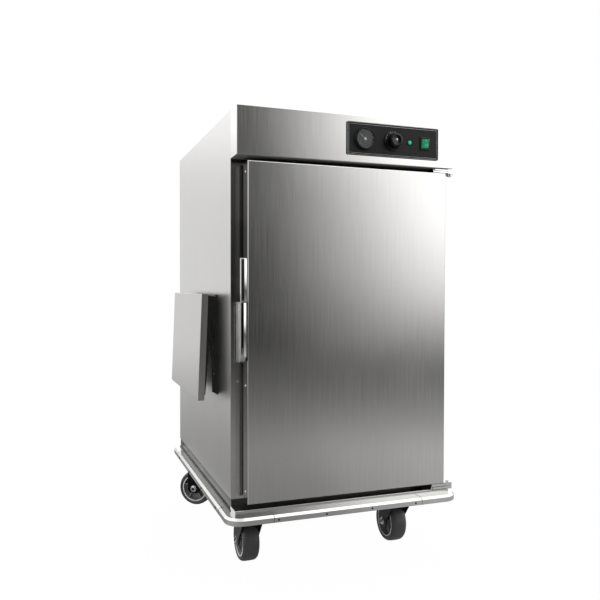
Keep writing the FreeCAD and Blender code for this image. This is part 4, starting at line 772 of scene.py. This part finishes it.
# Thermometer glass: a flat clear pane, coated against glare and lightly dusty, so that the dial shows
# through it with only a faint reflection.

glass, tree, place = new_material("clear_gauge_glass")
dust = add(tree, "TexNoise", {"Vector": place, "Scale": 60.0, "Detail": 4.0})
haze = add(tree, "MapRange", {"Value": dust.outputs[0], "To Min": 0.0, "To Max": 0.03})
surfaced(glass, {
    "Base Color": linear("F7FAFA"), "Roughness": haze.outputs[0], "IOR": 1.25, "Transmission Weight": 1.0,
})
give(glass, "thermometer_glass")

# Thermostat knob: black phenolic, a thin skirt with a serrated edge under a fluted cap, with a grey
# pointer line let into it and an aluminium stud at its middle, a painted highlight for the cap's bright
# spot. White divisions are printed on the skirt and turn with it.


def carry(start, end, degrees, axis="Z"):
    """The move that turns a piece about an axis through one place, and takes that place to another."""
    turn = Matrix.Rotation(math.radians(degrees), 4, axis)
    return Matrix.Translation(end) @ turn @ Matrix.Translation(-start)


def moved(piece, move):
    """Move a piece by its mesh, so that its object stays at the origin."""
    deselect()
    piece.data.transform(move)


knob_x = middle_x("thermostat_knob")
knob_foot_y = measured("thermostat_knob")[1][1]
knob_foot = at(knob_x, knob_foot_y, control_height)
serration_radius, serration_angle, flute_start, flute_end = 27.0, 5, 10.0, 20.0
knob = turned("fluted_knob", knob_foot, (0, -1, 0), [
    (0, 15.0), (3.3, 15.0), (3.3, 0.0), (27.2, 0.0), (27.9, 0.6), (27.9, 3.0), (26.4, 4.4), (22.2, 4.9),
    (21.2, 5.6), (20.4, 8.0), (19.8, 19.0), (18.4, 22.4), (16.2, 23.6), (13.6, 23.9), (12.0, 23.2),
    (0, 22.8),
], steps=72)


def between_serrations(middle, way):
    radius, angle = from_axis(middle, knob_foot)
    return radius > serration_radius and abs(way.y) < 0.4 and int(angle // serration_angle) % 2


def in_flute(middle, way):
    _, angle = from_axis(middle, knob_foot)
    on_cap = flute_start < (knob_foot.y - middle.y) * 1000 < flute_end and abs(way.y) < 0.3
    return on_cap and int(angle // serration_angle) % 3 == 0


choose(knob, between_serrations)
bpy.ops.mesh.inset(thickness=0.0002, depth=-0.0011, use_individual=True)
choose(knob, in_flute)
bpy.ops.mesh.inset(thickness=0.0003, depth=-0.0012, use_individual=True)
phenolic = moulded("black_phenolic_moulding", "040404", "090909", 0.14, 0.22, 1.6, 0.00001, 0.3)
fit(knob, "knob", phenolic)
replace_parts(knob, "thermostat_knob")

pointer = block(
    "knob_pointer", (knob_x - 0.6, knob_foot_y - 24.0, control_height + 10.5),
    (knob_x + 0.6, knob_foot_y - 22.9, control_height + 17.0),
)
soften(pointer, 0.15)
moved(pointer, carry(knob_foot, knob_foot, -150, "Y"))
fit(pointer, "knob", grey_ink)
scale = divisions("knob_divisions", knob_foot, 23.6, 150.0, 13, 4, 0.5, 1.5, 4.8)
fit(scale, "knob", white_ink)
# Painted highlight: a pale aluminium stud for the bright spot on the cap.
cap_stud = turned("knob_cap_highlight_stud", at(knob_x, knob_foot_y - 22.7, control_height), (0, -1, 0), [
    (0, 1.6), (1.6, 1.45), (3.0, 1.0), (4.0, 0.2), (4.0, -0.4), (0, -0.4),
], steps=32)
fit(cap_stud, "knob", highlight_aluminium)

# Pilot lamp: a green polycarbonate lens, faceted inside and lit from behind, and snapped from the front
# into a black moulded rim.

lamp_seat = at(middle_x("indicator_lamp"), plate_field, control_height)


def lit_plastic(name, dark, pale, glow):
    """A tinted clear moulding lit from behind: deep colour, a wet shine and a little light of its own."""
    material, tree, place = new_material(name)
    prisms = add(tree, "TexVoronoi", {"Vector": place, "Scale": 650.0})
    colour = add(tree, "Mix", {"Factor": prisms.outputs["Distance"], 6: linear(pale), 7: linear(dark)},
                 data_type="RGBA")
    relief = add(tree, "Bump", {"Height": prisms.outputs["Distance"], "Strength": 0.25, "Distance": 0.0002})
    return surfaced(material, {
        "Base Color": colour.outputs[2], "Roughness": 0.12, "IOR": 1.58, "Normal": relief.outputs[0],
        "Emission Color": colour.outputs[2], "Emission Strength": glow,
    })


lens = turned("lamp_lens", lamp_seat, (0, -1, 0), [
    (0, 4.7), (2.4, 4.4), (4.2, 3.3), (5.2, 1.8), (5.6, 0.2), (5.2, 0.0), (4.9, -22.0), (0, -22.0),
], steps=24)
fit(lens, "cabinet", lit_plastic("green_lamp_polycarbonate", "0E7A55", "2FB586", 0.55), 50)
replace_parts(lens, "indicator_lamp")
collar = turned("lamp_rim", lamp_seat, (0, -1, 0), [
    (5.7, 0.1), (5.8, 1.4), (6.6, 1.9), (7.8, 1.2), (8.4, 0.1), (5.7, 0.1),
], steps=32)
fit(collar, "cabinet", black_gloss)

# Rocker switch: a green lit key with a dished face, marked with a bar and a ring, in a black frame.
# It is pressed at its foot, so its upper half stands out.

key_x = middle_x("switch_rocker")
key_y, key_z = plate_field + 0.5, control_height
key_width, dish_rise, dish_run = 21.6, 2.5, 5.3
key = sawn("rocker_key", [
    at(key_x - key_width / 2, key_y + y, key_z + z)
    for y, z in (
        (3, -12), (-3.4, -12.3), (-4.3, -8), (-4.9, -4), (-5.0, 0), (-5.9, 3), (-7.4, 7), (-9.9, 12.3),
        (3, 12),
    )
], (key_width, 0, 0))
soften(key, 0.4)
fit(key, "rocker", lit_plastic("green_rocker_polycarbonate", "0A4A33", "1E8C62", 0.4))
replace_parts(key, "switch_rocker")
bar = block(
    "rocker_mark_on", (key_x - 0.5, key_y - 8.75, key_z + 6.0), (key_x + 0.5, key_y - 8.5, key_z + 10.4),
)
soften(bar, 0.05, 1)
bar_foot = at(key_x, key_y - 8.5, key_z + 9.6)
moved(bar, carry(bar_foot, bar_foot, math.degrees(math.atan2(dish_rise, dish_run)), "X"))
fit(bar, "rocker", white_ink)
ring = turned("rocker_mark_off", at(key_x, key_y - 4.25, key_z - 7.6), Vector((0, -1, -0.22)).normalized(), [
    (1.5, 0.0), (1.5, 0.3), (2.1, 0.3), (2.1, 0.0), (1.5, 0.0),
], steps=24)
fit(ring, "rocker", white_ink)
surround = framed(
    "switch_bezel", (key_x - 15.6, plate_front - 1.1, key_z - 18.6),
    (key_x + 15.6, plate_front + 1.9, key_z + 18.6), 3.3, 1,
)
soften(surround, 0.8, 3)
fit(surround, "cabinet", black_gloss)

# Door gasket: extruded grey silicone, a hollow bulb with two lips, cut at its corners and joined, and
# pushed into the inner pan.

bulb_width, lip_width, groove_width, groove_depth = 14.0, 4.2, 1.2, 2.4
seal = framed("bulb_gasket", *measured("door_gasket"), bulb_width, 1)
choose(seal, lambda middle, way: way.y > 0.9)
bpy.ops.mesh.inset(thickness=lip_width / 1000)
bpy.ops.mesh.inset(thickness=groove_width / 1000, depth=-groove_depth / 1000)
soften(seal, 1.1, 3)
grey_silicone = moulded("grey_silicone_rubber", "3B3B3D", "4B4B4D", 0.50, 0.62, 1.2, 0.00005)
fit(seal, "door", grey_silicone)
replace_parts(seal, "door_gasket")

# Hinges: rolled bars with black lines along their fronts, painted shade for grooves, and a domed cap
# that closes the pin.

# Painted shade: black lines on the hinges' fronts for the shade in their grooves.
groove_shade_black = moulded("black_painted_groove_shade", "050505", "0A0A0A", 0.4, 0.5, 1.0, 0.00001, 0.2)
(strap_left, strap_front, _), _ = measured("hinge_straps")
groove_right, groove_half, groove_proud = 637.0, 0.7, 0.3
for name, body, heights in (
    ("hinge_groove_shade_door", "door", (1141.8, 232.2)),
    ("hinge_groove_shade_frame", "cabinet", (1152.7, 1147.6, 215.0, 223.4)),
):
    groove = block(
        name, (strap_left + 1.0, strap_front - groove_proud, heights[0] - groove_half),
        (groove_right, strap_front + groove_proud, heights[0] + groove_half),
    )
    soften(groove, 0.15)
    groove = with_copies(groove, [shift(0, 0, height - heights[0]) for height in heights[1:]])
    fit(groove, body, groove_shade_black)
pin_cap = turned("hinge_pin_caps", at(middle_x("hinge_pins"), -48, 1134.5), (0, 0, -1), [
    (0, 1.6), (3.0, 1.5), (5.6, 0.9), (7.4, -0.6), (7.8, -1.4), (0, -1.4),
], steps=32)
fit(pin_cap, "cabinet", chrome)

# Header shade: a grey strip under the control housing and a black one along the frame's top are
# painted shade, which makes the gap over the door read dark.

# Painted shade: black and grey strips for the gap over the door.
black_shade = moulded("black_painted_shade", "070707", "101010", 0.55, 0.7, 1.8, 0.00006, 0.25)
grey_shade = moulded("grey_painted_shade", "4A4A4A", "5A5A59", 0.55, 0.7, 1.8, 0.00006, 0.25)
strip_left, strip_right = 2.0, strap_left - 2.0
for name, front, back, foot, head, rounding, material in (
    ("header_shade_strip", -62.0, -2.0, 1152.5, 1153.9, 0.4, grey_shade),
    ("frame_top_shade_strip", -2.2, -0.1, 1143.0, 1152.4, 0.5, black_shade),
):
    strip = block(name, (strip_left, front, foot), (strip_right, back, head))
    soften(strip, rounding)
    fit(strip, "cabinet", material)

# Latch: the lever's grip has a black strip down its slot. The slot below it is darkened with painted
# shade, a black lining down to its floor, and so is the front of the arm that lies in it. Beside them the
# fronts of the grip and the casting fall away to the door as polished lands, and a rib down the casting's
# side catches the light.

slot_shade_black = moulded("black_painted_slot_shade", "060606", "0C0C0C", 0.4, 0.5, 0.7, 0.00002, 0.3)
casting_left, casting_front, _ = measured("latch_body")[0]
_, lever_front, _ = measured("latch_handle")[0]
slot_x = 15.0


def along_slot(half_width):
    """The left and right of a strip that runs down the slot's middle."""
    return slot_x - half_width, slot_x + half_width


# Painted shade: black strips fill the grip's slot, line the casting's slot and face the arm in it.
left, right = along_slot(2.5)
inlay = block("grip_inlay", (left, lever_front - 0.35, 775.4), (right, lever_front + 1.6, 877.6))
soften(inlay, 0.6, 3)
fit(inlay, "latch_lever", slot_shade_black)

lining_foot, lining_head, lining_wall = 640.0, 745.0, 0.8
outer_left, outer_right = along_slot(3.1)
inner_left, inner_right = along_slot(2.3)
lining = sawn("latch_slot_shade", [
    at(x, casting_front - 0.5, z) for x, z in (
        (outer_left, lining_head), (inner_left, lining_head), (inner_left, lining_foot + lining_wall),
        (inner_right, lining_foot + lining_wall), (inner_right, lining_head), (outer_right, lining_head),
        (outer_right, lining_foot), (outer_left, lining_foot),
    )
], (0, 4, 0))
soften(lining, 0.15)
floor_strip = block("slot_floor_shade", (left, -62.4, lining_foot + lining_wall), (right, -59.9, 689.0))
soften(floor_strip, 0.3)
fit(joined([lining, floor_strip]), "door", slot_shade_black)

left, right = along_slot(2.1)
arm_strip = sawn("lever_front_shade", [
    at(left, y, z)
    for y, z in ((-50.2, 692.5), (-51.0, 691.5), (-63.8, 740), (-63.8, 768), (-63.0, 768), (-63.0, 740))
], (right - left, 0, 0))
fit(arm_strip, "latch_lever", slot_shade_black)

for name, body, front, foot, head in (
    ("grip_polished_land", "latch_lever", lever_front, 772.0, 882.0),
    ("latch_polished_land", "door", casting_front, 626.0, 767.0),
):
    land = sawn(name, [
        at(x, front - out, foot)
        for x, out in ((17.9, -1.2), (17.9, 1.5), (18.4, 2.0), (25.0, 0.3), (25.4, -0.2), (25.4, -1.2))
    ], (0, 0, head - foot))
    soften(land, 0.4, 3)
    fit(land, body, chrome)
rib = block("latch_side_rib", (casting_left - 1.1, -54.0, 624.0), (casting_left + 1.0, -48.0, 762.0))
soften(rib, 1.0, 4)
fit(rib, "door", chrome)
screws("latch_side_screws", [(casting_left, -58.0, z) for z in (748.0, 653.0)], (-1, 0, 0), "door", 0.55)
screws("keeper_screws", [(14.5, -4.6, z) for z in (751.0, 641.0)], (0, -1, 0), "cabinet", 0.85)

# Shelf: two wall brackets screwed to the side, and a black pad inside the board's pan, painted shade
# that shows as the dark space behind it.

bracket_spots = [(-3.0, y, z) for y in (172.0, 578.0) for z in (505.0, 640.0, 745.0)]
screws("shelf_bracket_screws", bracket_spots, (-1, 0, 0), "cabinet", 0.9)
# Painted shade: a black pad inside the shelf's pan.
pad = block("shelf_painted_shade_pad", (-48.5, 250.0, 486.0), (-33.5, 564.0, 780.0))
soften(pad, 1.0)
shelf_pivot, hang_angle = at(-22, 142, 772), 2.2
moved(pad, carry(shelf_pivot, shelf_pivot, hang_angle, "Y"))
fit(pad, "shelf", black_shade)

# Skirt bead: a black bead laid between the bumper's frame and the skirt, painted shade that darkens
# the gap between them.

# Painted shade: a black bead in the gap between skirt and bumper.
bead = framed("skirt_gap_shade_bead", (-1.4, 0.6, 199.8), (651.4, 792.4, 203.2), 4.2, 2)
soften(bead, 1.2, 3)
sealant_and_gap_shade_black = moulded("black_sealant_and_gap_shade", "101011", "1B1B1C", 0.35, 0.5, 2.0, 0.00008)
fit(bead, "cabinet", sealant_and_gap_shade_black)

# Bumper screws: small steel screws, chemically blackened, hold the rails to the frame. There are four
# along each side.

dark_steel = plated_metal("blackened_steel", "2C2C2D", "444445", 0.35, 0.5, 0.8, 0.00004)
(rail_left, rail_front, _), (rail_right, rail_back, _) = measured("bumper_rails")
across, along = (114.0, 252.0, 390.0, 528.0), (80.0, 275.0, 470.0, 665.0)
screw_z, sunk = 187.5, 0.1
for side, spots, outwards, size in (
    ("front", [(x, rail_front + sunk, screw_z) for x in across], (0, -1, 0), 0.75),
    ("back", [(x, rail_back - sunk, screw_z) for x in across], (0, 1, 0), 0.9),
    ("left", [(rail_left + sunk, y, screw_z) for y in along], (-1, 0, 0), 0.9),
    ("right", [(rail_right - sunk, y, screw_z) for y in along], (1, 0, 0), 0.9),
):
    screws("bumper_screws_" + side, spots, outwards, "cabinet", size, dark_steel)

# Bumper joints: a bead of black sealant fills each of the eight seams where a rail meets a corner
# casting.

seam = sawn("bumper_seam_beads", [
    at(100.8, y, z) for y, z in (
        (-75.2, 181.5), (-75.2, 194.1), (-69.1, 200.2), (-50.5, 200.2), (-50.5, 199.7), (-69.3, 199.7),
        (-74.6, 193.8), (-74.6, 181.5),
    )
], (1.3, 0, 0))
seam_home = at(101.4, rail_front, 190)
seam_places = [
    (548.6, rail_front, 0), (101.4, rail_back, 180), (548.6, rail_back, 180), (rail_left, 37.4, -90),
    (rail_left, 703.6, -90), (rail_right, 37.4, 90), (rail_right, 703.6, 90),
]
seam = with_copies(seam, [carry(seam_home, at(x, y, 190), turn) for x, y, turn in seam_places])
fit(seam, "cabinet", sealant_and_gap_shade_black)

# Casters: pressed steel forks with black passivated zinc plating, and tyres of black thermoplastic
# rubber moulded on grey nylon hubs. Each detail is made on the front left caster, and copied to the
# other three, which stand turned about their swivels.

PLACES = {
    "front_left": (85.0, 105.0, 0.0), "front_right": (565.0, 105.0, 0.0),
    "back_left": (85.0, 686.0, 52.0), "back_right": (565.0, 686.0, -35.0),
}
fork_zinc = plated_metal("black_passivated_zinc", "161718", "28292B", 0.26, 0.42, 1.6, 0.00008)
grey_nylon = moulded("grey_nylon", "6C6D6E", "7C7D7E", 0.42, 0.55, 1.0, 0.00005)
pale_nylon = moulded("pale_grey_nylon", "D0D1D2", "DEDFE0", 0.30, 0.4, 1.0, 0.00003)
tyre_rubber = moulded("black_thermoplastic_rubber", "2E2E30", "3E3E40", 0.42, 0.55, 1.3, 0.00008)
pedal_zinc = plated_metal("stamped_pedal_zinc", "7A7C7E", "9A9C9E", 0.28, 0.42, 1.2, 0.00008)
give(fork_zinc, "caster_plates")
give(pedal_zinc, "brake_pedal_front_left", "brake_pedal_front_right")
for code in PLACES:
    give(fork_zinc, "caster_fork_" + code)
    give(grey_nylon, "wheel_hub_" + code)


def on_each_caster(piece, body, material, codes=tuple(PLACES)):
    """Copy a piece from the front left caster to the others, and fit each on its own."""
    deselect()
    stem = piece.name
    swivel_x, swivel_y, _ = PLACES["front_left"]
    twins = {"front_left": piece}
    for code in codes[1:]:
        x, y, turn = PLACES[code]
        twin = piece.copy()
        twin.data = piece.data.copy()
        bpy.context.collection.objects.link(twin)
        twin.data.transform(carry(at(swivel_x, swivel_y, 0), at(x, y, 0), turn))
        twins[code] = twin
    for code, twin in twins.items():
        twin.name = f"{stem}_{code}"
        fit(twin, body + "_" + code, material)
    return twins


tyre_low, tyre_high = measured("wheel_tyre_front_left")
axle = at(*((low + high) / 2 for low, high in zip(tyre_low, tyre_high)))
tyre = turned("tyre", axle, (1, 0, 0), [
    (48.0, -22.2), (50.4, -24.2), (53.0, -24.9), (53.8, -24.4), (54.6, -24.4), (55.4, -24.8), (57.6, -23.4),
    (59.8, -20.8), (61.6, -16.8), (62.3, -11.0), (62.5, -4.0), (62.5, 4.0), (62.3, 11.0), (61.6, 16.8),
    (59.8, 20.8), (57.6, 23.4), (55.4, 24.8), (54.6, 24.4), (53.8, 24.4), (53.0, 24.9), (50.4, 24.2),
    (48.0, 22.2), (48.0, -22.2),
], steps=72)
for code, made in on_each_caster(tyre, "wheel", tyre_rubber).items():
    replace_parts(made, "wheel_tyre_" + code)

other_side = carry(axle, axle, 180)
rims = turned("hub_rim", axle, (1, 0, 0), [
    (44.0, 21.4), (44.4, 23.2), (47.4, 23.2), (47.9, 22.1), (47.6, 21.2), (44.0, 21.4),
], steps=64)
on_each_caster(with_copies(rims, [other_side]), "wheel", pale_nylon)

nuts = turned("axle_nuts", axle, (1, 0, 0), [
    (5.0, 30.85), (11.5, 30.85), (11.5, 32.2), (10.9, 32.5), (5.0, 32.5), (5.0, 30.85),
], steps=32)
nuts = joined([nuts, hexagon(axle + Vector((0.0334, 0, 0)), 9.9, 4.8, (0, 90, 0), 0.6)])
on_each_caster(with_copies(nuts, [other_side]), "fork", chrome)

dust_ring = turned("raceway_dust_ring", at(85, 105, 152.0), (0, 0, 1), [
    (30.4, 2.4), (31.2, 3.0), (34.2, 1.2), (34.8, -2.4), (34.2, -3.4), (33.4, -3.4), (33.4, 0.4),
    (30.4, 2.4),
], steps=64)
on_each_caster(dust_ring, "fork", fork_zinc)

# Brake pedals: a studded rubber tread is glued on the stamped pedal of each front caster, at the slope
# of its toe, where a shoe presses it.

tread_slope = 36
tread = block("pedal_tread", (66.0, 216.0, 146.4), (104.0, 226.5, 148.2))
choose(tread, lambda middle, way: way.z > 0.9)
bpy.ops.mesh.subdivide(number_cuts=4)
bpy.ops.mesh.inset(thickness=0.0006, depth=-0.0007, use_individual=True)
toe = at(85, 221, 147)
moved(tread, carry(toe, toe, tread_slope, "X"))
on_each_caster(tread, "pedal", tyre_rubber, ("front_left", "front_right"))

# Weld beads: a fillet weld runs round each of the four caster pads where it meets the frame tubes,
# rippled and slightly browned.

pad_pitch_x, pad_pitch_y = 480.0, 581.0
weld = framed("caster_pad_welds", (28.6, 53.6, 164.4), (141.4, 156.4, 167.8), 1.7, 2)
bpy.ops.mesh.select_all(action="SELECT")
bpy.ops.mesh.subdivide(number_cuts=6)
soften(weld, 0.6)
weld = with_copies(weld, [
    shift(pad_pitch_x, 0, 0), shift(0, pad_pitch_y, 0), shift(pad_pitch_x, pad_pitch_y, 0),
])
fit(weld, "cabinet", plated_metal("weld_metal", "6A6864", "9A9893", 0.3, 0.5, 1.5, 0.0003))
